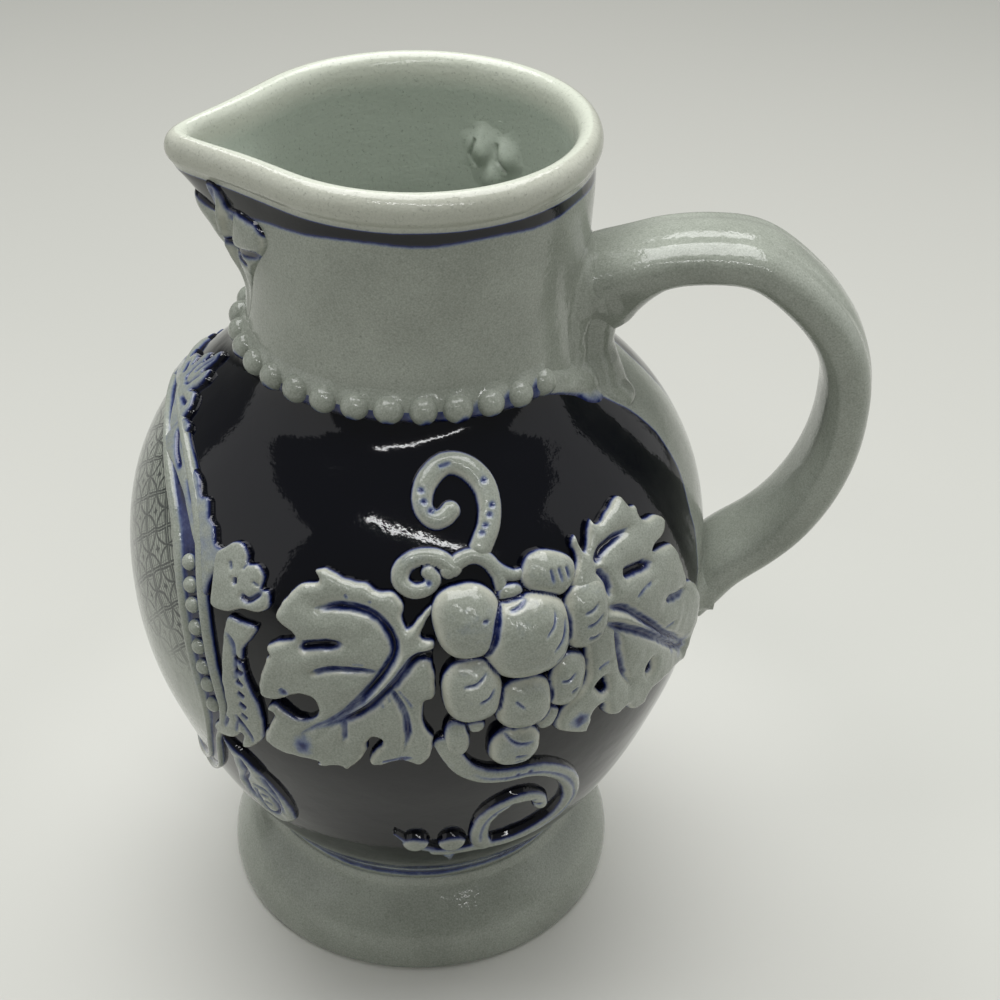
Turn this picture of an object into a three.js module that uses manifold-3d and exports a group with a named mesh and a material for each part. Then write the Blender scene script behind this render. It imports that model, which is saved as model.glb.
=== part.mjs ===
/*
 * Half-litre stoneware pitcher with applied vine relief.
 *
 * Millimetres. The origin lies under the middle of the jug's length in the plane the foot stands on, +Z is up,
 * the handle is on the +X side, the spout and the medallion are on the -X side. The grape relief is on the -Y
 * side and is repeated, mirrored, on the +Y side. Everything is laid out round the jug's axis, in degrees
 * counted from +X towards +Y, and is moved to the origin at the end.
 *
 * Every clay piece is its own closed body: the thrown vessel, the foot luted under it, the pulled handle,
 * the wad of clay inside the neck, the collar of beads and the moulded sprigs. Each applied piece is cut to
 * the vessel's curve and stands off it by the slip joint's thickness.
 */
import * as THREE from "three";
import { mergeVertices } from "three/addons/utils/BufferGeometryUtils.js";
import Module from "manifold-3d";

const wasm = await Module();
wasm.setup();

// Driving sizes
const overallHeight = 160;
const slipJoint = 0.3;
const turnSegments = 36;
const footTop = 18.2;
const bodyBase = footTop + slipJoint;
const footNeck = 31;
const neckRadius = 29.6;
const bellyRadius = 52.8;
const handleReach = 74.9;
const floorTop = 23.5;
const wall = 4.1;
const rimRoll = 2.2;
const rimRollDepth = 5.7;
const rimRadius = 28.5;
const spoutAngle = 185;
const spoutReach = 9.4;
const spoutSpread = 40;
const spoutNose = 5;
const spoutDepth = 29;
const spoutDip = 0.1;
const spoutDipDepth = 12;
const handleAngle = -7;
const handleWidth = 18;
const handleThickness = 8.7;
const collarHeight = 122.8;
const beadCount = 34;
const beadRadius = 2.35;
const sideAngle = -80;
const medallionAngle = 180;

// Heights in the tables below are those of a jug drawn to these three levels. They follow the foot, the collar
// and the rim when these are set elsewhere.
const drawnBase = 18.5;
const drawnCollar = 122.8;
const drawnTop = 160;

function level(z) {
  if (z <= drawnCollar) {
    return bodyBase + ((z - drawnBase) * (collarHeight - bodyBase)) / (drawnCollar - drawnBase);
  }
  return collarHeight + ((z - drawnCollar) * (overallHeight - collarHeight)) / (drawnTop - drawnCollar);
}

// Radii in the tables follow the neck, the belly and the handle's reach in the same way
const drawnNeck = 29.6;
const drawnBelly = 52.8;
const drawnReach = 74.9;

function girth(r) {
  if (r <= drawnNeck) return (r * neckRadius) / drawnNeck;
  const belly = neckRadius + ((Math.min(r, drawnBelly) - drawnNeck) * (bellyRadius - neckRadius)) / (drawnBelly - drawnNeck);
  const beyond = Math.max(r - drawnBelly, 0) / (drawnReach - drawnBelly);
  return belly + beyond * (handleReach - bellyRadius);
}

// Outside of the vessel from the foot joint to the roll of the rim: height, radius
const outline = [
  [18.5, footNeck], [20.4, 31.4], [23, 33.1], [28, 36.8], [34, 40.5], [42, 44.4], [51, 47.9], [60, 50.8],
  [69, 52.4], [78, 52.8], [86, 52.2], [93, 50.7], [99, 48.3], [104.5, 45.1], [109, 41.3], [113, 36.8],
  [116.6, 32.8], [120, 30.5], [124, 29.4], [131, 28.8], [136, 28.9], [141, 29.3], [145, 29.5], [149, 29.7],
  [153.6, 29.7]
].map(([z, r]) => [level(z), z > drawnBase ? girth(r) : r]);

const toRad = THREE.MathUtils.degToRad;

function outsideRadius(z) {
  const last = outline.length - 1;
  let i = outline.findIndex((p) => p[0] > z) - 1;
  if (z <= outline[0][0]) i = 0;
  if (i < 0) i = last - 1;
  const [z0, r0] = outline[i];
  const [z1, r1] = outline[i + 1];
  const [za, ra] = outline[Math.max(i - 1, 0)];
  const [zb, rb] = outline[Math.min(i + 2, last)];
  const m0 = (r1 - ra) / (z1 - za);
  const m1 = (rb - r0) / (zb - z0);
  const h = z1 - z0;
  const t = THREE.MathUtils.clamp((z - z0) / h, 0, 1);
  const t2 = t * t;
  const t3 = t2 * t;
  return r0 * (2 * t3 - 3 * t2 + 1) + m0 * h * (t3 - 2 * t2 + t) + r1 * (3 * t2 - 2 * t3) + m1 * h * (t3 - t2);
}

// How far the pulled spout carries the wall outwards: two straight sides meeting in a rounded tip
function spoutPull(deg, z) {
  let turn = ((deg - spoutAngle + 540) % 360) - 180;
  turn = Math.sqrt(turn * turn + spoutNose * spoutNose) - spoutNose;
  const start = overallHeight - spoutDepth;
  if (turn > spoutSpread || z < start) return 0;
  const base = rimRadius + rimRoll;
  const full = base / Math.cos(toRad(spoutSpread - turn)) - base;
  const tip = base / Math.cos(toRad(spoutSpread)) - base;
  const rise = Math.min((z - start) / (overallHeight - rimRollDepth - start), 1);
  return spoutReach * Math.pow(full / tip, 1.25) * Math.pow(rise, 2.1);
}

function pulled(deg, r, z) {
  const pull = r > 5 ? spoutPull(deg, z) : 0;
  const share = THREE.MathUtils.clamp((2 * (z - overallHeight)) / spoutDipDepth + 2, 0, 1);
  const drop = spoutDip * (pull / spoutReach) * share;
  const a = toRad(deg);
  return new THREE.Vector3((r + pull) * Math.cos(a), (r + pull) * Math.sin(a), z - drop);
}

// A point over the vessel's outside at a drawn height, lifted along its normal
function onVessel(deg, drawnHeight, lift) {
  const step = 0.5;
  const z = level(drawnHeight);
  const p = pulled(deg, outsideRadius(z), z);
  const up = pulled(deg, outsideRadius(z + step), z + step).sub(pulled(deg, outsideRadius(z - step), z - step));
  const round = pulled(deg + step, outsideRadius(z), z).sub(pulled(deg - step, outsideRadius(z), z));
  return p.addScaledVector(round.cross(up).normalize(), lift);
}

function geometryFrom(points, faces) {
  const flat = points.flatMap((p) => [p.x, p.y, p.z]);
  const geometry = new THREE.BufferGeometry();
  geometry.setAttribute("position", new THREE.Float32BufferAttribute(flat, 3));
  geometry.setIndex(faces.flat());
  return geometry;
}

// Rows of points joined into a closed skin: rows wrap round, or end in caps
function skin(rows, wrap, capFaces) {
  const n = rows[0].length;
  const faces = [];
  const count = wrap ? rows.length : rows.length - 1;
  for (let i = 0; i < count; i += 1) {
    const a = i * n;
    const b = ((i + 1) % rows.length) * n;
    for (let j = 0; j < n; j += 1) {
      const k = (j + 1) % n;
      faces.push([a + j, b + j, b + k], [a + j, b + k, a + k]);
    }
  }
  if (!wrap) {
    const end = (rows.length - 1) * n;
    for (const [p, q, r] of capFaces) {
      faces.push([p, q, r], [end + r, end + q, end + p]);
    }
  }
  return geometryFrom(rows.flat(), faces);
}

// Solid of revolution with the spout's pull; a profile that starts and ends on the axis gets two poles
function turned(profile) {
  const onAxis = profile[0][0] === 0;
  const ring = onAxis ? profile.slice(1, -1) : profile;
  const points = [];
  const faces = [];
  const n = ring.length;
  for (let i = 0; i < turnSegments; i += 1) {
    const deg = spoutAngle + (360 * i) / turnSegments;
    for (const [r, z] of ring) points.push(pulled(deg, r, z));
  }
  const first = points.length;
  if (onAxis) {
    points.push(new THREE.Vector3(0, 0, profile[0][1]), new THREE.Vector3(0, 0, profile.at(-1)[1]));
  }
  for (let i = 0; i < turnSegments; i += 1) {
    const a = i * n;
    const b = ((i + 1) % turnSegments) * n;
    for (let j = 0; j < (onAxis ? n - 1 : n); j += 1) {
      const k = (j + 1) % n;
      faces.push([a + j, b + j, b + k], [a + j, b + k, a + k]);
    }
    if (onAxis) {
      faces.push([first, b, a], [first + 1, a + n - 1, b + n - 1]);
    }
  }
  return geometryFrom(points, faces);
}

function toSolid(geometry) {
  geometry.deleteAttribute("normal");
  geometry.deleteAttribute("uv");
  const merged = mergeVertices(geometry, 1e-4);
  return new wasm.Manifold(
    new wasm.Mesh({
      numProp: 3,
      vertProperties: new Float32Array(merged.attributes.position.array),
      triVerts: new Uint32Array(merged.index.array)
    })
  );
}

function toGeometry(solid) {
  const mesh = solid.getMesh();
  const geometry = new THREE.BufferGeometry();
  geometry.setAttribute("position", new THREE.Float32BufferAttribute(Array.from(mesh.vertProperties), 3));
  geometry.setIndex(Array.from(mesh.triVerts));
  return geometry;
}

function mirrored(geometry) {
  const copy = geometry.clone().scale(1, -1, 1);
  const index = Array.from(copy.index.array);
  for (let i = 0; i < index.length; i += 3) {
    [index[i], index[i + 1]] = [index[i + 1], index[i]];
  }
  copy.setIndex(index);
  return copy;
}

function joined(solids) {
  return solids.reduce((whole, next) => whole.add(next));
}

// Vessel: outside, roll of the rim, inside and floor
const neckThinning = 0.5;
const innerLevels = [157.2, 145, 128, 120, 115, 110, 102, 90, 74, 56, 42, 33].map(level);

function vesselProfile() {
  const outside = outline.map(([z, r]) => [r, z]);
  const rollOver = [-55, -15, 35, 90, 125, 158].map((deg) => [
    rimRadius + rimRoll * Math.cos(toRad(deg)), overallHeight + (rimRollDepth / 2) * (Math.sin(toRad(deg)) - 1)
  ]);
  const inside = innerLevels.map((z) => [insideRadius(z), z]);
  const floor = [[31.5, floorTop + 3.6], [25, floorTop], [0, floorTop]];
  return [[0, bodyBase], ...outside, ...rollOver, ...inside, ...floor];
}

function insideRadius(z) {
  const step = 0.5;
  const slope = (outsideRadius(z + step) - outsideRadius(z - step)) / (2 * step);
  return outsideRadius(z) - wall * Math.min(Math.sqrt(1 + slope * slope), 1.45) + (z > level(118) ? neckThinning : 0);
}

const vesselSolid = toSolid(turned(vesselProfile()));

// Foot: a flared ring with a flat land, hollow underneath
const drawnFootTop = 18.2;
const footProfile = [
  [32.6, 0], [36.9, 0], [38.2, 1.9], [38, 6], [36.2, 10.4], [33.4, 14.1], [footNeck, drawnFootTop],
  [23.5, drawnFootTop], [25.4, 11.8], [29.8, 4.4]
].map(([r, z]) => [r, (z * footTop) / drawnFootTop]);

// A block over the vessel's outside between two lifts; the upper lift may vary over the block
function block(degRange, zRange, cells, low, high) {
  const [nA, nZ] = cells;
  const points = [];
  for (const lift of [() => low, high]) {
    for (let i = 0; i <= nA; i += 1) {
      const deg = degRange[0] + ((degRange[1] - degRange[0]) * i) / nA;
      for (let j = 0; j <= nZ; j += 1) {
        const z = zRange[0] + ((zRange[1] - zRange[0]) * j) / nZ;
        points.push(onVessel(deg, z, lift(deg, z)));
      }
    }
  }
  const layer = (nA + 1) * (nZ + 1);
  const at = (i, j) => i * (nZ + 1) + j;
  const faces = [];
  for (let i = 0; i < nA; i += 1) {
    for (let j = 0; j < nZ; j += 1) {
      const [a, b, c, d] = [at(i, j), at(i + 1, j), at(i + 1, j + 1), at(i, j + 1)];
      faces.push([a, c, b], [a, d, c], [layer + a, layer + b, layer + c], [layer + a, layer + c, layer + d]);
    }
  }
  const edge = [];
  for (let i = 0; i < nA; i += 1) edge.push(at(i, 0));
  for (let j = 0; j < nZ; j += 1) edge.push(at(nA, j));
  for (let i = nA; i > 0; i -= 1) edge.push(at(i, nZ));
  for (let j = nZ; j > 0; j -= 1) edge.push(at(0, j));
  edge.forEach((a, i) => {
    const b = edge[(i + 1) % edge.length];
    faces.push([a, b, layer + b], [a, layer + b, layer + a]);
  });
  return toSolid(geometryFrom(points, faces));
}

// A cutter standing on the vessel's skin over a closed outline of angle and height
function cookie(centre, points, low, high) {
  const shape = points.map(([a, z]) => new THREE.Vector2(a, z));
  if (THREE.ShapeUtils.isClockWise(shape)) shape.reverse();
  const caps = THREE.ShapeUtils.triangulateShape(shape, []);
  const rows = [low, high].map((lift) => shape.map((p) => onVessel(centre + p.x, p.y, lift)));
  const n = shape.length;
  const faces = [];
  for (let j = 0; j < n; j += 1) {
    const k = (j + 1) % n;
    faces.push([j, k, n + k], [j, n + k, n + j]);
  }
  for (const [p, q, r] of caps) {
    faces.push([r, q, p], [n + p, n + q, n + r]);
  }
  return toSolid(geometryFrom(rows.flat(), faces));
}

function smoothPath(points, closed, count) {
  const curve = new THREE.CatmullRomCurve3(
    points.map(([a, z]) => new THREE.Vector3(a, z, 0)), closed, "centripetal"
  );
  return curve.getSpacedPoints(count).map((p) => [p.x, p.y]);
}

// A rounded roll of clay laid along a path over the vessel
function roll(centre, path, count, widthAt, heightAt) {
  const line = smoothPath(path, false, count);
  const rows = line.map(([a, z], i) => {
    const t = i / count;
    const back = line[Math.max(i - 1, 0)];
    const on = line[Math.min(i + 1, count)];
    const from = onVessel(centre + back[0], back[1], slipJoint);
    const to = onVessel(centre + on[0], on[1], slipJoint);
    const here = onVessel(centre + a, z, slipJoint);
    const out = onVessel(centre + a, z, slipJoint + 1).sub(here);
    const side = out.clone().cross(to.sub(from)).normalize();
    const w = widthAt(t) / 2;
    const h = heightAt(t);
    return [[-1, 0], [-0.78, 0.68], [0, 1], [0.78, 0.68], [1, 0]].map(([s, u]) =>
      here.clone().addScaledVector(side, s * w).addScaledVector(out, u * h)
    );
  });
  return toSolid(skin(rows, false, [[0, 1, 2], [0, 2, 3], [0, 3, 4]]));
}

// A grape or a berry: an egg centred on the vessel's skin
function egg(centre, a, z, halfWidth, halfHeight, halfDepth, tilt, detail) {
  const here = onVessel(centre + a, z, 0);
  const out = onVessel(centre + a, z, 1).sub(here);
  const round = onVessel(centre + a + 0.5, z, 0).sub(onVessel(centre + a - 0.5, z, 0)).normalize();
  const up = out.clone().cross(round);
  const basis = new THREE.Matrix4().makeBasis(round, up, out).setPosition(here);
  const geometry = new THREE.OctahedronGeometry(1, detail).rotateX(0.3);
  geometry.scale(halfWidth, halfHeight, halfDepth).rotateZ(toRad(tilt)).applyMatrix4(basis);
  return toSolid(geometry);
}

// An egg cut to the vessel's curve
function seatedEgg(centre, a, z, halfWidth, halfHeight, halfDepth, tilt, detail) {
  const reach = Math.max(halfWidth, halfHeight) + 0.5;
  const turn = THREE.MathUtils.radToDeg(reach / outsideRadius(level(z)));
  const seat = block([centre + a - turn, centre + a + turn], [z - reach, z + reach], [detail, detail],
    -halfDepth - 2, () => slipJoint);
  return egg(centre, a, z, halfWidth, halfHeight, halfDepth, tilt, detail).subtract(seat);
}

// Vine relief. Outlines give the angle from the relief's middle and the height.
const leafFront = [
  [-32.3, 102.1], [-29.8, 102.5], [-26, 101.8], [-21.4, 101.4], [-19.5, 100.5], [-16.6, 100.5], [-14.8, 98.8],
  [-14.9, 97], [-14.2, 95.4], [-12.2, 97], [-9.8, 98.8], [-9.5, 97.8], [-11.7, 94.5], [-9.3, 93.3], [-9.7, 90.6],
  [-9.3, 86.7], [-9.4, 83.2], [-11.2, 82.1], [-11.4, 78.7], [-10.4, 76.4], [-9.6, 74.4], [-10.4, 70.3],
  [-12.5, 68.7], [-15.2, 69.6], [-19.5, 68.2], [-21.2, 68.8], [-20.8, 71], [-19.1, 73.5], [-20, 74.5],
  [-21.2, 72.9], [-21.8, 70.3], [-25, 66.7], [-26.8, 67.2], [-31.2, 65.7], [-30.8, 67.4], [-37, 67.1],
  [-40.2, 68.4], [-41.2, 70], [-38.7, 75.5], [-40.2, 76], [-38.5, 78.3], [-34.8, 75], [-32.9, 74.9],
  [-30.6, 77.6], [-30.9, 80.9], [-33.7, 81.1], [-38.3, 78.6], [-41.5, 79.7], [-40.2, 86.1], [-39.5, 87.1],
  [-40, 88.6], [-37.9, 90.5], [-35, 91.6], [-38.1, 93.1], [-38.8, 94.7], [-36.8, 98], [-34.5, 100], [-31.4, 100.7]
];
const leafFrontVeins = [
  [[-30.6, 97], [-26, 97.8], [-20.6, 97.2], [-17.3, 94.5], [-16.6, 91.6], [-17.9, 88.4], [-21.4, 83.7],
    [-26, 78.4], [-32.9, 73.7]],
  [[-10.4, 90.8], [-12.5, 90.4], [-16.4, 86.4], [-21.4, 81.2], [-25.4, 77.9]],
  [[-16.8, 84.7], [-14.5, 80.4], [-14.3, 74.7], [-14.8, 72.7]]
];
const leafRear = [
  [16.9, 92.8], [17.1, 97.9], [19.6, 101.1], [19.4, 103.2], [20.9, 104.1], [21.9, 101.7], [24, 104.2],
  [25.6, 105.1], [26.7, 104.5], [31.2, 105.5], [35, 105.9], [36.5, 104.2], [38.1, 103.6], [38.3, 101.5],
  [42.1, 100.8], [44.5, 99.1], [42.5, 96.9], [39.2, 96.2], [44.2, 94.9], [46.2, 91.1], [47.7, 86.4], [50, 84.7],
  [52.6, 81.7], [53.2, 78.1], [51.2, 73], [49.2, 67.8], [42.9, 69.2], [35.8, 69.7], [32.5, 67.3], [28.3, 69.7],
  [26.2, 69], [22.1, 72.3], [22.7, 74.3], [20.6, 73.4], [20.4, 70.8], [19, 68.5], [13.3, 71.2], [12.4, 73.4],
  [13.6, 76.2], [17.4, 79.6], [18.6, 82.4], [18.2, 86.6]
];
const leafRearVeins = [
  [[23.8, 99], [26.7, 100.6], [33.3, 101.1]],
  [[24.6, 91.1], [27.9, 90.1], [33.8, 85], [39.2, 79.2], [46.2, 73.4]],
  [[25.2, 87.9], [26, 82.5], [28.3, 75.2]]
];

// Grapes: angle, height, half width, half height, tilt
const grapes = [
  [7.3, 91.9, 7.1, 6.8, 0], [-3.1, 95.7, 5.2, 5.9, 8], [13.2, 100.4, 4.9, 3.6, -25], [19.4, 92.6, 4.2, 5.8, 0],
  [-3, 83.9, 4.5, 5.9, 6], [6.3, 80.1, 4.5, 4.9, 0], [14.4, 82, 3.4, 5.1, -12], [4.8, 71.2, 4.3, 4.3, 0],
  [-2.4, 76.8, 1.6, 1.6, 0], [10.9, 75.5, 1.8, 2.9, -25], [5.1, 98.9, 2.3, 1.8, 0], [-5.7, 74.4, 2.1, 4.2, 4]
];

const leafLift = 1.5;

function leaf(centre, points, veins, cells) {
  const a = points.map((p) => p[0]);
  const z = points.map((p) => p[1]);
  const [a0, a1, z0, z1] = [Math.min(...a) - 1, Math.max(...a) + 1, Math.min(...z) - 1, Math.max(...z) + 1];
  const lobes = (deg, height) => {
    const u = (deg - centre - a0) / (a1 - a0);
    const v = (height - z0) / (z1 - z0);
    return slipJoint + leafLift + 0.5 * Math.sin(3 * Math.PI * u) * Math.sin(2.5 * Math.PI * v);
  };
  const slab = block([centre + a0, centre + a1], [z0, z1], cells, slipJoint, lobes);
  const cut = slab.intersect(cookie(centre, points, -2, 14));
  const grooves = veins.map((path) => {
    const line = smoothPath(path, false, path.length);
    const rows = line.map(([p, q], i) => {
      const back = line[Math.max(i - 1, 0)];
      const on = line[Math.min(i + 1, line.length - 1)];
      const dir = onVessel(centre + on[0], on[1], 0).sub(onVessel(centre + back[0], back[1], 0)).normalize();
      const here = onVessel(centre + p, q, slipJoint + leafLift);
      const out = onVessel(centre + p, q, slipJoint + leafLift + 1).sub(here);
      const side = dir.cross(out).normalize();
      return [[0, -0.9], [1.1, 1.2], [-1.1, 1.2]].map(([s, h]) =>
        here.clone().addScaledVector(side, s).addScaledVector(out, h)
      );
    });
    return toSolid(skin(rows, false, [[0, 1, 2]]));
  });
  return toGeometry(grooves.reduce((whole, groove) => whole.subtract(groove), cut).subtract(roomForBunch));
}

const bunchBacking = [
  [-6.6, 91], [-7, 97], [-3.6, 100.4], [3, 99.6], [8, 98], [11, 102], [15.4, 101.4], [18.4, 97], [22.4, 93.6],
  [21.4, 88.4], [17.4, 86.6], [16.4, 79.4], [11, 77.4], [8.6, 72], [6, 68.4], [2.6, 69], [-0.6, 71.8], [-6.2, 72],
  [-7, 77], [-6, 82]
];

// The bunch: grapes on a thin backing, all grown by a margin
function bunchSolid(centre, margin) {
  const eggs = grapes.map(([a, z, w, h, tilt]) => {
    const depth = Math.min(w, h) * 0.78 + 0.3 + margin;
    return egg(centre, a, z, w + margin, h + margin, depth, tilt, w > 4.4 ? 2 : 1);
  });
  const spread = margin / 0.8;
  const edge = bunchBacking.map(([a, z]) => {
    const away = Math.hypot(a - 7, z - 87);
    return [a + (spread * (a - 7)) / away, z + (spread * (z - 87)) / away];
  });
  const thin = block(
    [centre - 9, centre + 25], [66, 105], [4, 5], slipJoint - margin, () => slipJoint + 0.9 + margin
  ).intersect(cookie(centre, edge, -2, 12));
  return joined([thin, ...eggs]);
}

function grapeBunch(centre) {
  const seat = block([centre - 13, centre + 28], [60, 110], [6, 7], -8, () => slipJoint);
  return toGeometry(bunchSolid(centre, 0).subtract(seat));
}

const bunchClearance = 0.35;
const roomForBunch = bunchSolid(sideAngle, bunchClearance);

const taper = (wide, narrow, from) => (t) => (t < from ? wide : wide + ((narrow - wide) * (t - from)) / (1 - from));

function hookTendril(centre) {
  const path = [
    [0.2, 106.4], [2.7, 108.4], [3.9, 110.6], [3.8, 112.6], [1.8, 114.2], [-1.5, 115.2], [-5.2, 115.3],
    [-8.6, 114.4], [-10.7, 112.8], [-10.9, 110.9], [-8.6, 109.5], [-5.6, 109.6]
  ];
  return toGeometry(roll(centre, path, 18, taper(3.8, 2, 0.7), taper(1.9, 1.1, 0.8)));
}

function curlTendril(centre) {
  const path = [
    [-7, 103.4], [-9.6, 104.7], [-12.8, 104.9], [-15.3, 103.9], [-15.7, 102.3], [-13.8, 101.1], [-12, 101.5]
  ];
  return toGeometry(roll(centre, path, 12, taper(2.4, 1.7, 0.6), () => 1.6));
}

function vineTail(centre) {
  const outer = [
    [-8, 73], [-6.6, 69.8], [-4.2, 66.4], [-0.5, 64], [4, 62.9], [8.5, 62.8], [12.5, 61.4], [16.5, 58.3],
    [19.5, 54.3], [21.3, 50.2], [21.8, 46.9], [20.6, 43.8], [17.5, 41.1], [13, 39.4], [8, 38.7], [3, 38.8],
    [-2, 38.5], [-6, 38.3], [-10, 39]
  ];
  const inner = [
    [2, 38.8], [1.2, 41.5], [0.9, 45.2], [1.4, 49.2], [3.4, 52.4], [6.5, 54.3], [10, 54.3], [12.6, 52.4],
    [13.7, 49.8]
  ];
  const twig = [[-9, 38.8], [-13.6, 41.2], [-17.6, 45]];
  const stub = [[-6.4, 38.6], [-5.5, 35.6], [-4.9, 33.4]];
  const pieces = [
    roll(centre, outer, 24, taper(3.5, 2, 0.8), () => 1.7),
    roll(centre, inner, 10, taper(3.6, 2.6, 0.7), () => 1.6),
    roll(centre, twig, 5, taper(1.6, 0.8, 0.2), () => 1),
    roll(centre, stub, 4, taper(3, 1.2, 0.2), () => 1.1),
    seatedEgg(centre, -13.2, 42.3, 1.9, 1.9, 1.7, 0, 1),
    seatedEgg(centre, -5.1, 42, 2, 1.9, 1.7, 0, 1),
    roll(centre, [[-5.1, 42], [-5.4, 38.4]], 3, () => 1.4, () => 0.9)
  ];
  return toGeometry(joined(pieces).subtract(roomForBunch));
}

function stemTendril(centre) {
  const arch = [[-5.6, 103], [-3.6, 104.4], [-0.4, 104.8], [2.4, 103.8], [4.6, 102.6], [6.6, 102.2], [8.2, 102.8]];
  return toGeometry(roll(centre, arch, 10, taper(1.9, 1.5, 0.4), () => 1.5).subtract(roomForBunch));
}

// Medallion: two fillets and a channel with pearls, swept round an egg-shaped line
const medallionPath = [
  [0, 106.5], [8, 106.1], [16, 104.6], [23.7, 102.2], [30, 99.1], [34.6, 94.5], [38.4, 86.9], [41, 78],
  [42.8, 70], [42.6, 63.5], [40, 57], [35.5, 50.4], [28, 45], [18, 41.2], [8, 39.3], [0, 38.8]
];

// Across the band, outwards from the panel's edge: distance, height
const bandSection = [
  [0, 0], [0.5, 1.1], [1.7, 1], [2.3, 0.4], [5.2, 0.4], [6.2, 1.3], [7.4, 0]
];
const pearlLine = 3.75;

// The band is full at the sides, narrower over the top and below the pearls
function bandWidth(a, z) {
  const low = THREE.MathUtils.smoothstep(z, 62, 72);
  return (1 - 0.35 * Math.exp(-(a * a) / 260)) * (0.45 + 0.55 * low);
}

function medallionLine() {
  const back = medallionPath.slice(1, -1).reverse().map(([a, z]) => [-a, z]);
  return smoothPath([...medallionPath, ...back], true, 52).slice(0, -1);
}

// Angle and height of a point a distance outwards from the line
function outwards(line, i, distance) {
  const n = line.length;
  const [a, z] = line[i];
  const [pa, pz] = line[(i + n - 1) % n];
  const [qa, qz] = line[(i + 1) % n];
  const round = toRad(outsideRadius(level(z)));
  const slope = outsideRadius(level(z + 0.5)) - outsideRadius(level(z - 0.5));
  const along = Math.sqrt(1 + slope * slope);
  const dx = (qa - pa) * round;
  const dy = (qz - pz) * along;
  const size = Math.hypot(dx, dy);
  return [a - ((dy / size) * distance) / round, z + ((dx / size) * distance) / along];
}

function medallionFrame() {
  const line = medallionLine();
  const rows = line.map(([a, z], i) =>
    bandSection.map(([s, h]) => {
      const [pa, pz] = outwards(line, i, s * bandWidth(a, z));
      return onVessel(medallionAngle + pa, pz, slipJoint + h);
    })
  );
  const pieces = [toSolid(skin(rows, true, []))];
  line.forEach(([a, z], i) => {
    if (z < 71 || Math.abs(a) < 12) return;
    const [pa, pz] = outwards(line, i, pearlLine * bandWidth(a, z));
    pieces.push(seatedEgg(medallionAngle, pa, pz, 1.6, 1.6, 1.7, 0, 1));
  });
  return toGeometry(joined(pieces));
}

const crestOutline = [
  [-13, 111.2], [-8, 112.6], [-6, 112.1], [-6.8, 113.8], [-4.4, 114.9], [-2.4, 113.8], [0, 116.4], [2.4, 113.8],
  [4.4, 114.9], [6.8, 113.8], [6, 112.1], [8, 112.6], [13, 111.2], [0, 111.4]
];
const budOutline = [
  [44.4, 99.9], [48, 101], [50.1, 102.3], [52.6, 102.2], [53.4, 100.5], [55.9, 100.5], [56.6, 98.2], [57.8, 97.1],
  [57.8, 94.7], [54.4, 92.9], [48.6, 92.2], [47, 95.6]
];
const scrollOutline = [
  [50.6, 90.2], [55.4, 90.8], [54.1, 87.5], [54.8, 81.9], [56.8, 77.6], [57.6, 73.3], [57, 69], [54.4, 65.9],
  [51.4, 64.4], [51.9, 67.5], [53, 70.5], [53.2, 74.5], [52.4, 79], [51.2, 84]
];
const dropOutline = [
  [47, 63.2], [50.4, 61.6], [53.6, 58.4], [56.6, 53.8], [57.8, 48.5], [57.8, 42.5], [55.5, 40.4], [50.5, 41.5],
  [47.5, 45], [46.5, 50], [47.8, 54.5], [47.4, 58]
];

function ornament(points, lift, cells) {
  const a = points.map((p) => p[0]);
  const z = points.map((p) => p[1]);
  const degRange = [medallionAngle + Math.min(...a) - 1, medallionAngle + Math.max(...a) + 1];
  const zRange = [Math.min(...z) - 1, Math.max(...z) + 1];
  const slab = block(degRange, zRange, cells, slipJoint, () => slipJoint + lift);
  return slab.intersect(cookie(medallionAngle, points, -2, 8));
}

function medallionDrop() {
  const strapPiece = ornament(dropOutline, 1.1, [4, 8]);
  const jewel = seatedEgg(medallionAngle, 52.4, 47.5, 2.6, 4, 2.6, 0, 1);
  return toGeometry(strapPiece.add(jewel));
}

// Leaf hanging under the spout, angles from the spout's middle
const spoutLeafOutline = [
  [0, 153.6], [6, 152.6], [11, 151.4], [15.6, 149.4], [17, 146], [15.2, 143.6], [16, 140.6], [12.6, 138.2],
  [8.4, 135], [4.6, 132], [0, 127.6], [-4.6, 132], [-8.4, 135], [-12.6, 138.2], [-16, 140.6], [-15.2, 143.6],
  [-17, 146], [-15.6, 149.4], [-11, 151.4], [-6, 152.6]
];

// The leaf stands up along its rib and at its lobes, and thins out down the neck
function spoutLeaf() {
  const arch = (deg, z) => {
    const thin = THREE.MathUtils.smoothstep(z, 127, 142);
    const rib = Math.exp(-Math.pow((deg - spoutAngle) / 2.4, 2));
    return slipJoint + 0.35 + 0.75 * thin + 0.6 * rib * (0.4 + 0.6 * thin);
  };
  const slab = block([spoutAngle - 20, spoutAngle + 20], [126, 155], [10, 7], slipJoint, arch);
  return toGeometry(slab.intersect(cookie(spoutAngle, spoutLeafOutline, -1.5, 5)));
}

// Handle: a pulled strap. Distance from the axis, height, and what the roots add to its width and thickness
const strap = [
  [23, 130, 0, 6.3], [29.5, 132, 0.5, 4.8], [34.5, 134.4, 0, 2.1], [42, 137.2, 0, 0.3], [50, 138.6, 0, 0],
  [58, 137, 0, 0], [65.8, 131.8, 0, 0], [71.4, 124.9, 0, 0], [74.4, 117, 0, 0], [74.9, 109.1, 0, 0],
  [74, 101.4, 0, 0], [71.6, 94, 0, 0], [67.6, 87, 0, 0], [62.4, 80.9, 0, 0], [56.5, 75.8, 0.6, 0.4],
  [51.4, 70.4, 2, 0.9], [45, 63.6, 3, 1.4]
];
const strapRings = 24;
const strapSides = 10;
const strapSquareness = 2.6;

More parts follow.
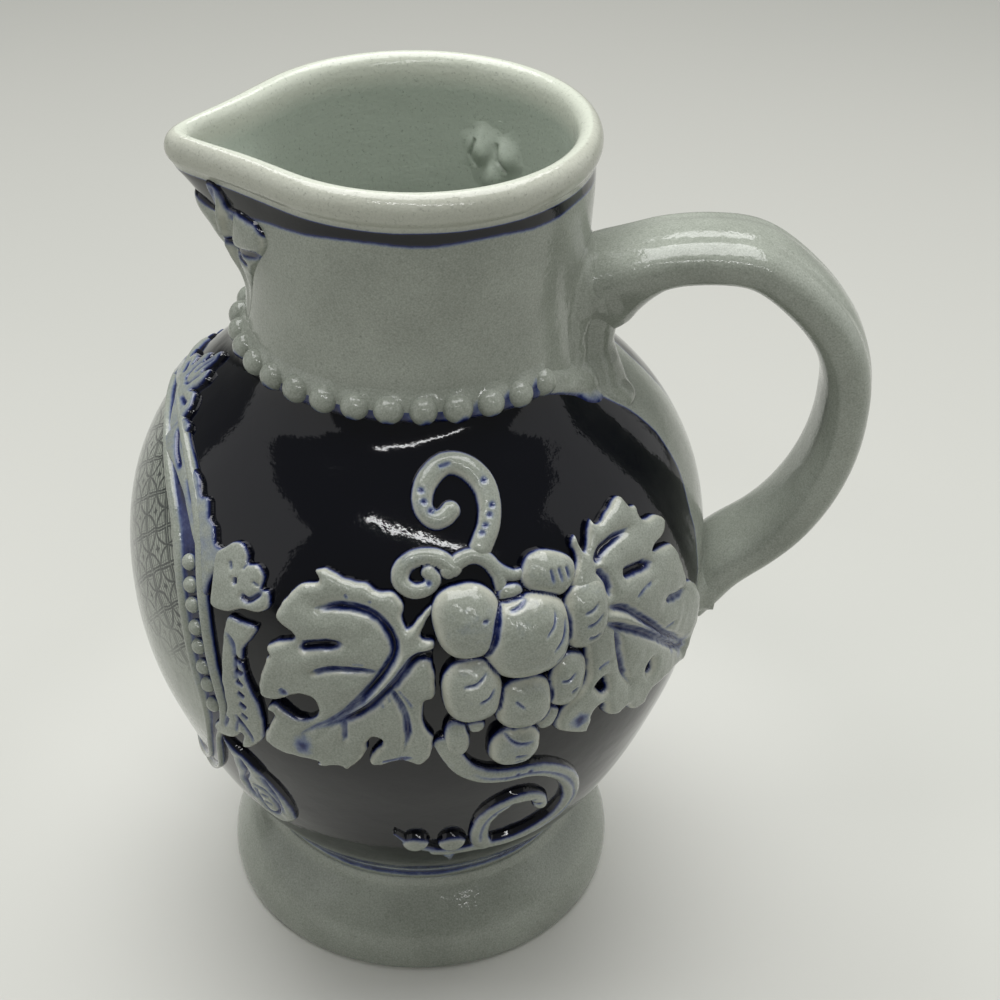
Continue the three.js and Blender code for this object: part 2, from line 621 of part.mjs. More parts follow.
function strapHandle() {
  const path = new THREE.CatmullRomCurve3(strap.map(([r, z]) => new THREE.Vector3(girth(r), level(z), 0)));
  const sizes = new THREE.CatmullRomCurve3(
    strap.map(([, , w, t]) => new THREE.Vector3(handleWidth + w, handleThickness + t, 0))
  );
  const a = toRad(handleAngle);
  const away = new THREE.Vector3(Math.cos(a), Math.sin(a), 0);
  const across = new THREE.Vector3(Math.sin(a), -Math.cos(a), 0);
  const up = new THREE.Vector3(0, 0, 1);
  const power = 2 / strapSquareness;
  const rows = [];
  for (let i = 0; i <= strapRings; i += 1) {
    const t = i / strapRings;
    const p = path.getPoint(t);
    const dir = path.getTangent(t);
    const size = sizes.getPoint(t);
    const out = away.clone().multiplyScalar(-dir.y).addScaledVector(up, dir.x);
    const here = away.clone().multiplyScalar(p.x).addScaledVector(up, p.y);
    const ring = [];
    for (let j = 0; j < strapSides; j += 1) {
      const q = (2 * Math.PI * j) / strapSides;
      const c = Math.sign(Math.cos(q)) * Math.pow(Math.abs(Math.cos(q)), power);
      const s = Math.sign(Math.sin(q)) * Math.pow(Math.abs(Math.sin(q)), power);
      ring.push(here.clone().addScaledVector(across, (c * size.x) / 2).addScaledVector(out, (s * size.y) / 2));
    }
    rows.push(ring);
  }
  const caps = [];
  for (let j = 1; j < strapSides - 1; j += 1) caps.push([0, j, j + 1]);
  return toSolid(skin(rows, false, caps));
}

// Under the upper root a tongue of clay is smeared down the neck to the collar
function handle() {
  const tongue = roll(
    handleAngle, [[-1, 136], [-4, 130], [-6, 124.6], [-8, 118.6]], 6, taper(16, 9, 0.2), taper(5, 1.6, 0.2)
  );
  const cut = block([handleAngle - 44, handleAngle + 44], [46, 148], [8, 15], -16, () => slipJoint);
  return toGeometry(strapHandle().add(tongue).subtract(cut));
}

// Wad of clay pressed to the inside of the neck
const wadAngle = 55;
const wadDepth = 17.5;
const wadHeight = overallHeight - wadDepth;

function neckWad() {
  const a = toRad(wadAngle);
  const inner = outsideRadius(wadHeight) - wall + 0.5;
  const lobes = [[-2, 1.2, 3.4, 4.2], [2.2, 0.8, 3.2, 3.8], [0, -2.4, 3, 4]].map(([side, rise, w, h]) => {
    const geometry = new THREE.IcosahedronGeometry(1, 2);
    geometry.scale(2.4, w, h).rotateZ(a);
    geometry.translate(
      inner * Math.cos(a) - side * Math.sin(a), inner * Math.sin(a) + side * Math.cos(a), wadHeight + rise
    );
    return toSolid(geometry);
  });
  const r = inner - 0.4;
  const reach = 12;
  const hollow = toSolid(
    turned([[0, wadHeight - reach], [r, wadHeight - reach], [r, wadHeight + reach], [0, wadHeight + reach]])
  );
  return toGeometry(joined(lobes).intersect(hollow));
}

// Collar of beads where the neck meets the shoulder, open where the handle's root comes down
const collarFrom = 21;
const collarTo = 313;

function beadCollar() {
  const pitch = 360 / beadCount;
  const count = Math.round((collarTo - collarFrom) / pitch);
  const steps = 4;
  const path = [];
  for (let i = 0; i <= count; i += 1) path.push([collarFrom + pitch * i, drawnCollar]);
  const swell = (t) => Math.sqrt(Math.max(1 - Math.pow(2 * ((t * count) % 1) - 1, 2), 0.12));
  return toGeometry(
    roll(0, path, count * steps, (t) => 2 * beadRadius * swell(t), (t) => beadRadius * swell(t))
  );
}

const parts = [];

function add(name, geometry, color, roughness) {
  const material = new THREE.MeshStandardMaterial({ color, roughness, metalness: 0 });
  material.name = `${name}_glaze`;
  const clean = mergeVertices(geometry, 1e-4);
  clean.computeVertexNormals();
  const mesh = new THREE.Mesh(clean, material);
  mesh.name = name;
  parts.push(mesh);
}

const greyGlaze = 0xa3a8a0;
const cobaltGlaze = 0x161c2e;

add("vessel", toGeometry(vesselSolid), cobaltGlaze, 0.12);
add("foot_ring", turned(footProfile), greyGlaze, 0.3);
add("handle", handle(), greyGlaze, 0.3);
add("neck_wad", neckWad(), greyGlaze, 0.35);
add("bead_collar", beadCollar(), greyGlaze, 0.3);

const relief = {
  grape_bunch: grapeBunch(sideAngle),
  leaf_front: leaf(sideAngle, leafFront, leafFrontVeins, [6, 5]),
  leaf_rear: leaf(sideAngle, leafRear, leafRearVeins, [6, 6]),
  tendril_hook: hookTendril(sideAngle),
  tendril_curl: curlTendril(sideAngle),
  tendril_arch: stemTendril(sideAngle),
  vine_tail: vineTail(sideAngle)
};
for (const [name, geometry] of Object.entries(relief)) {
  add(`${name}_right`, geometry, greyGlaze, 0.4);
  add(`${name}_left`, mirrored(geometry), greyGlaze, 0.4);
}

add("medallion_frame", medallionFrame(), greyGlaze, 0.4);
add("medallion_crest", toGeometry(ornament(crestOutline, 1.2, [6, 3])), greyGlaze, 0.4);
const flank = {
  medallion_bud: toGeometry(ornament(budOutline, 1.3, [4, 4])),
  medallion_scroll: toGeometry(ornament(scrollOutline, 1.3, [3, 8])),
  medallion_drop: medallionDrop()
};
for (const [name, geometry] of Object.entries(flank)) {
  add(`${name}_right`, geometry, greyGlaze, 0.4);
  add(`${name}_left`, mirrored(geometry), greyGlaze, 0.4);
}
add("spout_leaf", spoutLeaf(), greyGlaze, 0.4);

const pitcher = new THREE.Group();
pitcher.name = "stoneware_pitcher";
pitcher.add(...parts);

const box = new THREE.Box3().setFromObject(pitcher);
for (const mesh of parts) mesh.geometry.translate(-(box.min.x + box.max.x) / 2, 0, 0);

export default pitcher;
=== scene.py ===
"""Half-litre salt-glazed stoneware pitcher: pulled spout, strap handle, cobalt ground, applied vine relief.

Lengths in the tables are millimetres and angles are degrees from +X towards +Y. Meshes are written in metres.
"""
import math

import bpy
import numpy as np
from mathutils import Matrix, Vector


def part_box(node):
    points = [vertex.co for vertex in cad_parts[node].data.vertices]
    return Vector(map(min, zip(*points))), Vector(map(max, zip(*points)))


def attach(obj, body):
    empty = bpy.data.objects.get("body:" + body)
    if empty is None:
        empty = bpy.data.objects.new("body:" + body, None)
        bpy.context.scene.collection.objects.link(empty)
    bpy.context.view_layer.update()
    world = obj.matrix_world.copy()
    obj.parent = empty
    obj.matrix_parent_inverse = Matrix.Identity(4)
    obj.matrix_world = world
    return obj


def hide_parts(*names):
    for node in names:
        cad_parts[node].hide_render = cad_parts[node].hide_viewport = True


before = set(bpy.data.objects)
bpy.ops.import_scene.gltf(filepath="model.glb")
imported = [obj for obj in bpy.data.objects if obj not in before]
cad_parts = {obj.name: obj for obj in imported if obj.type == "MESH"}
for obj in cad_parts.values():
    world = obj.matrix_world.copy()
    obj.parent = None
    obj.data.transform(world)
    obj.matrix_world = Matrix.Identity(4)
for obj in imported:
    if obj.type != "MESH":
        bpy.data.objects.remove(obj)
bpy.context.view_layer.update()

MM = 0.001
DEG = math.pi / 180
AXIS = np.array([*np.mean(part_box("foot_ring"), axis=0)[:2], 0.0])

# Vessel

RIM_RADIUS, RIM_ROLL, RIM_DEPTH, TOP = 28.5, 2.2, 5.7, 160.0
WALL, BODY_BASE, FLOOR_MIDDLE = 4.1, 18.5, 23.2
SPOUT_ANGLE, SPOUT_REACH, SPOUT_SPREAD = 185.0, 9.4, 40.0
SPOUT_NOSE, SPOUT_START, SPOUT_DIP = 5.0, 131.0, 0.1
HANDLE_ANGLE, SIDE_ANGLE, MEDALLION_ANGLE = -7.0, -80.0, 180.0
COLLAR_HEIGHT, BEAD_COUNT, BEAD_RADIUS, COLLAR_FROM, COLLAR_TO = 122.8, 34, 2.35, 21.0, 313.0

# Outside of the body and neck: height, radius
OUTLINE = np.array([
    (18.5, 31.0), (20.4, 31.4), (23, 33.1), (28, 36.8), (34, 40.5), (42, 44.4), (51, 47.9), (60, 50.8),
    (69, 52.4), (78, 52.8), (86, 52.2), (93, 50.7), (99, 48.3), (104.5, 45.1), (109, 41.4), (113, 37.2),
    (116.6, 33.1), (120, 30.5), (124, 29.4), (131, 28.8), (136, 28.9), (141, 29.3), (145, 29.5),
    (149, 29.7), (153.6, 29.7)])


def smoothstep(x, low, high):
    """Nought below low, one above high, and the cubic 3t2 - 2t3 of the share t of the way between."""
    t = np.clip((x - low) / (high - low), 0, 1)
    return t * t * (3 - 2 * t)


def hermite(z, table):
    """Cubic through the table's points whose slope at a point is that of the line joining its two
    neighbours."""
    zs, rs = table[:, 0], table[:, 1]
    slope = np.empty(len(zs))
    slope[1:-1] = (rs[2:] - rs[:-2]) / (zs[2:] - zs[:-2])
    slope[0], slope[-1] = (rs[1] - rs[0]) / (zs[1] - zs[0]), (rs[-1] - rs[-2]) / (zs[-1] - zs[-2])
    z = np.asarray(z, float)
    i = np.clip(np.searchsorted(zs, z, side="right") - 1, 0, len(zs) - 2)
    h = zs[i + 1] - zs[i]
    t = np.clip((z - zs[i]) / h, 0, 1)
    return (rs[i] * (2 * t**3 - 3 * t**2 + 1) + slope[i] * h * (t**3 - 2 * t**2 + t)
            + rs[i + 1] * (3 * t**2 - 2 * t**3) + slope[i + 1] * h * (t**3 - t**2))


def outside_radius(z):
    """Radius of the body and neck at a height, on the cubic through the outline."""
    return hermite(z, OUTLINE)


def turn_from(deg, middle):
    """Angle from a middle one, brought between -180 and 180 degrees."""
    return (deg - middle + 540) % 360 - 180


def spout_pull(deg, z):
    """How far the wall is drawn out: two straight sides that meet in a rounded tip, fading to nought down the
    neck."""
    turn = turn_from(deg, SPOUT_ANGLE)
    turn = np.sqrt(turn**2 + SPOUT_NOSE**2) - SPOUT_NOSE
    base = RIM_RADIUS + RIM_ROLL
    full = base / np.cos(np.maximum(SPOUT_SPREAD - turn, 0) * DEG) - base
    tip = base / math.cos(SPOUT_SPREAD * DEG) - base
    rise = np.clip((z - SPOUT_START) / (TOP - RIM_DEPTH - SPOUT_START), 0, 1)
    return np.where(turn > SPOUT_SPREAD, 0, SPOUT_REACH * (full / tip) ** 1.25 * rise**2.1)


def pulled(deg, r, z):
    """Point at an angle, radius and height, moved out by the spout's pull and down by its dip near the
    rim."""
    pull = np.where(r > 5, spout_pull(deg, z), 0)
    drop = SPOUT_DIP * pull / SPOUT_REACH * np.clip((z - 154) / 6, 0, 1)
    return np.stack([(r + pull) * np.cos(deg * DEG), (r + pull) * np.sin(deg * DEG), z - drop], -1)


def unit(v):
    """Vectors divided by their lengths."""
    return v / np.maximum(np.linalg.norm(v, axis=-1, keepdims=True), 1e-9)


def on_vessel(deg, z, lift=0.0):
    """Point over the vessel's outside, lifted along the cross product of the ways round and up."""
    deg, z = np.broadcast_arrays(np.asarray(deg, float), np.asarray(z, float))
    step = 0.5
    p = pulled(deg, outside_radius(z), z)
    up = pulled(deg, outside_radius(z + step), z + step) - pulled(deg, outside_radius(z - step), z - step)
    way_round = pulled(deg + step, outside_radius(z), z) - pulled(deg - step, outside_radius(z), z)
    return p + unit(np.cross(way_round, up)) * np.asarray(lift, float)[..., None]


# Distances over the skin

def lengths_along(line):
    """Length of a polyline up to each of its points."""
    return np.concatenate([[0], np.cumsum(np.hypot(*np.diff(line, axis=0).T))])


LEVELS = np.linspace(14.0, 158.0, 1441)
LENGTHS = lengths_along(np.stack([LEVELS, outside_radius(LEVELS)], -1))


def up_skin(z):
    """Millimetres up the vessel's side at a height."""
    return np.interp(z, LEVELS, LENGTHS)


def to_skin(points, middle):
    """Angle and height turned into millimetres over the skin: round from the middle angle, and up the
    side."""
    a, z = np.asarray(points, float).T
    return np.stack([(a - middle) * DEG * outside_radius(z), up_skin(z)], -1)


def from_skin(x, y, middle):
    """The inverse of to_skin."""
    z = np.interp(y, LENGTHS, LEVELS)
    return middle + x / (DEG * outside_radius(z)), z


def smooth_line(points, closed=False, per=7):
    """Catmull-Rom curve through the points: the cubic whose slope at a point is half the step between its
    neighbours."""
    p = np.asarray(points, float)
    if closed:
        p = np.concatenate([p[-1:], p, p[:2]])
    else:
        p = np.concatenate([2 * p[:1] - p[1:2], p, 2 * p[-1:] - p[-2:-1]])
    t = (np.arange(per) / per)[None, :, None]
    a, b, c, d = (p[i:len(p) - 3 + i, None, :] for i in range(4))
    curve = 0.5 * (2 * b + (c - a) * t + (2 * a - 5 * b + 4 * c - d) * t**2 + (3 * b - a - 3 * c + d) * t**3)
    curve = curve.reshape(-1, p.shape[1])
    return curve if closed else np.concatenate([curve, p[-2:-1]])


def line_distance(x, y, line):
    """Distance from each point to a polyline, and the share of the line's length at which it is nearest."""
    lengths = np.hypot(*np.diff(line, axis=0).T)
    starts = np.concatenate([[0], np.cumsum(lengths)])
    best = np.full(x.shape, 1e9)
    share = np.zeros(x.shape)
    for (ax, ay), (bx, by), size, start in zip(line[:-1], line[1:], lengths, starts):
        if size < 1e-9:
            continue
        t = np.clip(((x - ax) * (bx - ax) + (y - ay) * (by - ay)) / size**2, 0, 1)
        d = np.hypot(x - ax - t * (bx - ax), y - ay - t * (by - ay))
        near = d < best
        best = np.where(near, d, best)
        share = np.where(near, (start + t * size) / starts[-1], share)
    return best, share


def inside_distance(x, y, ring):
    """Distance to a closed line, positive inside it by the even-odd rule."""
    ring = np.concatenate([ring, ring[:1]])
    d, _ = line_distance(x, y, ring)
    inside = np.zeros(x.shape, bool)
    for (ax, ay), (bx, by) in zip(ring[:-1], ring[1:]):
        if ay != by:
            inside ^= ((ay > y) != (by > y)) & (x < (bx - ax) * (y - ay) / (by - ay) + ax)
    return np.where(inside, d, -d)


def rounded_edge(s, width, fall=1.8):
    """Quarter round that rises over the width inside the edge, and a straight fall outside it."""
    t = np.clip(s / width, 0, 1)
    return np.where(s > 0, np.sqrt(1 - (1 - t) ** 2), np.minimum(s, 0) * fall)


def dome(rho, height, span, fall=1.8):
    """Half an ellipsoid over the relative distance rho from its middle, and a straight fall beyond its
    foot."""
    return np.where(rho < 1, height * np.sqrt(np.maximum(1 - rho**2, 0)), -(rho - 1) * span * fall)


def soft_max(a, b, k):
    """The larger of two heights, with the crease between them filled over a width k."""
    h = np.clip(0.5 + 0.5 * (a - b) / k, 0, 1)
    return b + (a - b) * h + k * h * (1 - h)


def groove(x, y, line, width, start=0.12, end=0.2):
    """Bell curve across a line, fading in and out over the shares of its length at its two ends."""
    d, t = line_distance(x, y, line)
    fade = np.clip(t / max(start, 1e-6), 0, 1) * np.clip((1 - t) / max(end, 1e-6), 0, 1)
    return np.exp(-(d / width) ** 2) * np.sqrt(fade)


def ripple(x, y, seed, size):
    """Sum of five sine waves of random direction and phase, about one crest to each size."""
    rng = np.random.default_rng(seed)
    total = np.zeros(np.shape(x))
    waves = zip(rng.uniform(0, math.pi, 5), rng.uniform(0, 2 * math.pi, 5), rng.uniform(0.7, 1.4, 5))
    for angle, phase, k in waves:
        total += np.sin((x * math.cos(angle) + y * math.sin(angle)) * 2 * math.pi * k / size + phase)
    return total / 5


def evenly(line, count, endpoint=True):
    """Points spaced evenly along a polyline."""
    lengths = lengths_along(line)
    s = np.linspace(0, lengths[-1], count, endpoint=endpoint)
    return np.stack([np.interp(s, lengths, line[:, k]) for k in (0, 1)], -1)


def laid(strokes, middle):
    """Strokes whose lines are carried over the skin and made smooth, with their sizes as they were."""
    return [(smooth_line(to_skin(line, middle)), *sizes) for line, *sizes in strokes]


def middle_angle(outline):
    """Halfway between the least and the greatest angle of an outline."""
    angles = [angle for angle, _ in outline]
    return (min(angles) + max(angles)) / 2


# Finishes

BODY_GREY, BODY_PALE, BODY_PIT, PRINT = "#81867c", "#a3a89e", "#5f645c", "#353a38"
# The second colour paints the rim and the relief's edges paler: partly thin glaze, partly a painted highlight
INSIDE_PALE, RIM_GLAZE_AND_SHEEN = "#b6c0b3", "#cfcfc1"
TRELLIS_PITCH = 7.0


def linear(code):
    """sRGB hex turned to the linear values that a shader takes."""
    c = np.array([int(code[i:i + 2], 16) / 255 for i in (1, 3, 5)])
    return (*np.where(c <= 0.04045, c / 12.92, ((c + 0.055) / 1.055) ** 2.4), 1.0)


def node(tree, kind, inputs=None, stops=(), **settings):
    """Adds a shader node, sets its properties and a colour ramp's stops, and sets or links its inputs. Inputs
    go by number where names repeat: 6 and 7 of a Mix are its colours, and its output 2 is their blend."""
    n = tree.nodes.new(kind)
    for key, value in settings.items():
        setattr(n, key, value)
    for key, value in (inputs or {}).items():
        if isinstance(value, bpy.types.NodeSocket):
            tree.links.new(value, n.inputs[key])
        else:
            n.inputs[key].default_value = value
    if stops:
        elements = n.color_ramp.elements
        while len(elements) < len(stops):
            elements.new(0.5)
        for element, (place, code) in zip(elements, stops):
            element.position = place
            element.color = linear(code)
    return n


def blank(name):
    """Material with an empty node tree."""
    material = bpy.data.materials.new(name)
    material.use_nodes = True
    material.node_tree.nodes.clear()
    return material, material.node_tree


def trellis_print(tree):
    """Thin grey transfer under the glaze: a trellis of double lines 7 mm apart with a four-petalled flower in
    each diamond. It covers the upper two thirds of the panel and wears away downwards."""
    across, up, inside = (node(tree, "ShaderNodeAttribute", attribute_name=f"panel_{key}").outputs["Fac"]
                          for key in ("across", "up", "inside"))
    place = node(tree, "ShaderNodeCombineXYZ", {"X": across, "Y": up}).outputs[0]
    # The engraved line wavers by about 0.2 mm
    waver = node(tree, "ShaderNodeTexNoise", {"Vector": place, "Scale": 0.35, "Detail": 2.0})
    place = node(tree, "ShaderNodeVectorMath", {0: waver.outputs["Color"], 1: (0.9, 0.9, 0.0), 2: place},
                 operation="MULTIPLY_ADD").outputs[0]
    diamonds = node(tree, "ShaderNodeMapping", {
        "Vector": place, "Rotation": (0, 0, 45 * DEG),
        "Scale": (1 / TRELLIS_PITCH, 1 / TRELLIS_PITCH, 1)}).outputs[0]
    edge = node(tree, "ShaderNodeTexVoronoi", {"Vector": diamonds, "Scale": 1.0, "Randomness": 0.0},
                voronoi_dimensions="2D", feature="DISTANCE_TO_EDGE").outputs["Distance"]
    lines = node(tree, "ShaderNodeValToRGB", {"Fac": edge}, [
        (0.0, "#000000"), (0.022, "#ffffff"), (0.06, "#ffffff"), (0.075, "#000000"),
        (0.1, "#000000"), (0.115, "#e0e0e0"), (0.14, "#000000")]).outputs["Color"]
    star = node(tree, "ShaderNodeTexVoronoi", {
        "Vector": diamonds, "Scale": 1.0, "Randomness": 0.0, "Exponent": 0.62},
        voronoi_dimensions="2D", feature="F1", distance="MINKOWSKI").outputs["Distance"]
    flower = node(tree, "ShaderNodeValToRGB", {"Fac": star}, [
        (0.0, "#ffffff"), (0.12, "#ffffff"), (0.15, "#303030"), (0.42, "#303030"),
        (0.5, "#ffffff"), (0.6, "#ffffff"), (0.7, "#000000")]).outputs["Color"]
    # Engraved shading lines, 0.55 mm apart
    hatch = node(tree, "ShaderNodeTexWave", {
        "Vector": place, "Scale": 0.57, "Distortion": 0.6, "Detail": 1.0, "Detail Scale": 0.5},
        bands_direction="DIAGONAL").outputs["Fac"]
    hatch = node(tree, "ShaderNodeMapRange", {
        "Value": hatch, "From Min": 0.5, "From Max": 0.85, "To Max": 0.7})
    ink = node(tree, "ShaderNodeMath", {0: lines, 1: flower}, operation="MAXIMUM").outputs[0]
    ink = node(tree, "ShaderNodeMath", {0: ink, 1: hatch.outputs["Result"]}, operation="MAXIMUM").outputs[0]
    # The transfer is worn off between the heights of 70 and 82 mm, and noise moves that by millimetres
    uneven = 26.0
    low, high = up_skin([70, 82]) + uneven / 2
    worn = node(tree, "ShaderNodeTexNoise", {"Vector": place, "Scale": 0.16, "Detail": 4.0, "Roughness": 0.6})
    level = node(tree, "ShaderNodeMath", {0: worn.outputs["Fac"], 1: uneven, 2: up},
                 operation="MULTIPLY_ADD").outputs[0]
    fade = node(tree, "ShaderNodeMapRange", {
        "Value": level, "From Min": low, "From Max": high, "To Max": 1.0})
    mask = node(tree, "ShaderNodeMapRange", {"Value": inside, "From Min": 0.6, "From Max": 1.2})
    fade = node(tree, "ShaderNodeMath", {0: fade.outputs["Result"], 1: mask.outputs["Result"]},
                operation="MULTIPLY").outputs[0]
    return node(tree, "ShaderNodeMath", {0: ink, 1: fade}, operation="MULTIPLY").outputs[0]


def brushed_cobalt(tree, place):
    """How far the cobalt covers the grey and its colour, from the depth in millimetres inside its edge, which
    noise moves by about a third of one: nearly black where it is thick and a bright blue where it thins."""
    depth = node(tree, "ShaderNodeAttribute", attribute_name="cobalt").outputs["Fac"]
    wander = node(tree, "ShaderNodeTexNoise", {
        "Vector": place, "Scale": 900.0, "Detail": 3.0, "Roughness": 0.6})
    soft = node(tree, "ShaderNodeTexNoise", {"Vector": place, "Scale": 160.0, "Detail": 2.0})
    shift = node(tree, "ShaderNodeMath", {0: wander.outputs["Fac"], 1: 0.3, 2: depth},
                 operation="MULTIPLY_ADD")
    shift = node(tree, "ShaderNodeMath", {0: soft.outputs["Fac"], 1: 0.4, 2: shift.outputs[0]},
                 operation="MULTIPLY_ADD")
    level = node(tree, "ShaderNodeMath", {0: shift.outputs[0], 1: 0.35}, operation="SUBTRACT").outputs[0]
    thickness = node(tree, "ShaderNodeMapRange", {"Value": level, "From Min": -0.44, "From Max": 0.7})
    cover = node(tree, "ShaderNodeMapRange", {"Value": level, "From Min": -0.44, "From Max": 0.18},
                 interpolation_type="SMOOTHSTEP").outputs["Result"]
    blue = node(tree, "ShaderNodeValToRGB", {"Fac": thickness.outputs["Result"]}, [
        (0.0, "#6d83ac"), (0.25, "#39528f"), (0.48, "#17245a"), (0.75, "#080a1c"), (1.0, "#04050d")])
    return cover, blue.outputs["Color"]


def grey_body(tree, place, picture):
    """Colour of the bare clay under its salt glaze: clouds centimetres wide, grain of 0.3 mm, specks of half
    a millimetre and, on the vessel, the print."""
    cloud = node(tree, "ShaderNodeTexNoise", {
        "Vector": place, "Scale": 55.0, "Detail": 4.0, "Roughness": 0.55})
    grain = node(tree, "ShaderNodeTexNoise", {"Vector": place, "Scale": 3300.0, "Detail": 1.0})
    tone = node(tree, "ShaderNodeMix", {0: 0.45, 2: cloud.outputs["Fac"], 3: grain.outputs["Fac"]})
    grey = node(tree, "ShaderNodeValToRGB", {"Fac": tone.outputs[0]}, [(0.33, BODY_GREY), (0.67, BODY_PALE)])
    grey = grey.outputs["Color"]
    # The inside is paler. Over sharp edges and on the rim the colour is paler too: partly thin glaze, partly a
    # painted highlight
    for key, code, share in (("inside", INSIDE_PALE, 0.8), ("rim", RIM_GLAZE_AND_SHEEN, 0.6)):
        part = node(tree, "ShaderNodeAttribute", attribute_name=key).outputs["Fac"]
        part = node(tree, "ShaderNodeMath", {0: part, 1: share}, operation="MULTIPLY").outputs[0]
        grey = node(tree, "ShaderNodeMix", {0: part, 6: grey, 7: linear(code)}, data_type="RGBA").outputs[2]
    specks = node(tree, "ShaderNodeTexNoise", {
        "Vector": place, "Scale": 1900.0, "Detail": 2.0, "Roughness": 0.7})
    dark = node(tree, "ShaderNodeMapRange", {
        "Value": specks.outputs["Fac"], "From Min": 0.58, "From Max": 0.76, "To Max": 0.45}).outputs["Result"]
    grey = node(tree, "ShaderNodeMix", {0: dark, 6: grey, 7: linear(BODY_PIT)}, data_type="RGBA").outputs[2]
    if picture:
        ink = picture(tree)
        grey = node(tree, "ShaderNodeMix", {0: ink, 6: grey, 7: linear(PRINT)}, data_type="RGBA").outputs[2]
    return grey


def glaze_skin(tree, place, cover):
    """Normal of the glaze: orange peel about 0.8 mm across breaks up the lights on the grey, while the cobalt
    ran smooth and swells over 4 to 10 mm."""
    fine = node(tree, "ShaderNodeTexNoise", {
        "Vector": place, "Scale": 1250.0, "Detail": 2.0, "Roughness": 0.5})
    slow = node(tree, "ShaderNodeTexNoise", {
        "Vector": place, "Scale": 110.0, "Detail": 2.0, "Roughness": 0.45})
    amount = node(tree, "ShaderNodeMapRange", {"Value": cover, "To Min": 0.12, "To Max": 0.03})
    peel = node(tree, "ShaderNodeBump", {
        "Strength": amount.outputs["Result"], "Distance": 0.0006, "Height": fine.outputs["Fac"]})
    swell = node(tree, "ShaderNodeBump", {
        "Strength": 0.2, "Distance": 0.001, "Height": slow.outputs["Fac"], "Normal": peel.outputs["Normal"]})
    return swell.outputs["Normal"]


def salt_glazed_stoneware(name, picture=None):
    """Grey stoneware under a thin salt glaze, with cobalt brushed on before the firing: a satin grey with
    fine pits and orange peel, and a wet, nearly black blue that thins to a bright blue at its edges."""
    material, tree = blank(name)
    place = node(tree, "ShaderNodeTexCoord").outputs["Object"]
    cover, blue = brushed_cobalt(tree, place)
    grey = grey_body(tree, place, picture)
    colour = node(tree, "ShaderNodeMix", {0: cover, 6: grey, 7: blue}, data_type="RGBA")
    rough = node(tree, "ShaderNodeMapRange", {"Value": cover, "To Min": 0.09, "To Max": 0.06})
    shader = node(tree, "ShaderNodeBsdfPrincipled", {
        "Base Color": colour.outputs[2], "Roughness": rough.outputs["Result"], "IOR": 1.5,
        "Normal": glaze_skin(tree, place, cover)})
    node(tree, "ShaderNodeOutputMaterial", {"Surface": shader.outputs["BSDF"]})
    return material


# Only the vessel carries the cobalt ground and the print
FINISH = {
    "grey_stoneware_glaze": salt_glazed_stoneware("salt_glazed_stoneware"),
    "cobalt_ground_glaze": salt_glazed_stoneware("printed_salt_glazed_stoneware", trellis_print)}


# Meshes: a body is its points in millimetres, arrays of corner numbers for its faces, and named values at
# its points

def add_mesh(name, cad_node, body, finish="grey_stoneware_glaze"):
    """Mesh object at the origin, riding on the rigid body and standing for its CAD node."""
    points, faces, values = body
    mesh = bpy.data.meshes.new(name)
    mesh.from_pydata((points * MM + AXIS).tolist(), [], [face for group in faces for face in group.tolist()])
    mesh.polygons.foreach_set("use_smooth", np.ones(len(mesh.polygons), bool))
    for key, value in values.items():
        layer = mesh.attributes.new(key, "FLOAT", "POINT")
        layer.data.foreach_set("value", np.ascontiguousarray(value, dtype=np.float32))
    mesh.materials.append(FINISH[finish])
    mesh.update()
    piece = bpy.data.objects.new(name, mesh)
    bpy.context.scene.collection.objects.link(piece)
    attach(piece, "root")
    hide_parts(cad_node)


def grid_quads(rows, columns, wrap_rows, wrap_columns):
    """Corner numbers of the cells of a grid of points, joined round at the ends that wrap."""
    i = np.arange(rows if wrap_rows else rows - 1)
    j = np.arange(columns if wrap_columns else columns - 1)
    i, j = (v.ravel() for v in np.meshgrid(i, j, indexing="ij"))
    k, m = (i + 1) % rows, (j + 1) % columns
    return np.stack([i * columns + j, k * columns + j, k * columns + m, i * columns + m], -1)


def joined(bodies):
    """One body from several, put one after another."""
    points, faces, values, start = [], [], {}, 0
    for body_points, body_faces, body_values in bodies:
        points.append(body_points)
        faces += [group + start for group in body_faces]
        for key, value in body_values.items():
            values.setdefault(key, []).append(value)
        start += len(body_points)
    return np.concatenate(points), faces, {key: np.concatenate(value) for key, value in values.items()}


def mirrored(body):
    """Mirror image in the plane through the handle and the spout, with its faces still outwards."""
    points, faces, values = body
    return points * [1, -1, 1], [group[:, ::-1] for group in faces], values


def add_pair(name, body):
    """The body on the photographed side and its mirror image on the other side."""
    add_mesh(f"{name}_relief_right", f"{name}_right", body)
    add_mesh(f"{name}_relief_left", f"{name}_left", mirrored(body))


# Relief is kept down to the first of these depths under the skin, and its floor lies at the second
RELIEF_CUT, RELIEF_FLOOR = 0.35, 0.9


def kept_cells(h):
    """Cells of a grid of heights that reach the cut, without the outermost ones. Where two of them meet only
    at a corner, one beside them is kept too, so that no edge is pinched."""
    keep = np.maximum.reduce([h[:-1, :-1], h[1:, :-1], h[1:, 1:], h[:-1, 1:]]) > -RELIEF_CUT
    keep[[0, -1]] = False
    keep[:, [0, -1]] = False
    for _ in range(4):
        a, b, c, d = keep[:-1, :-1], keep[1:, 1:], keep[1:, :-1], keep[:-1, 1:]
        first, second = a & b & ~c & ~d, c & d & ~a & ~b
        keep[1:, :-1] |= first
        keep[:-1, :-1] |= second
    return keep


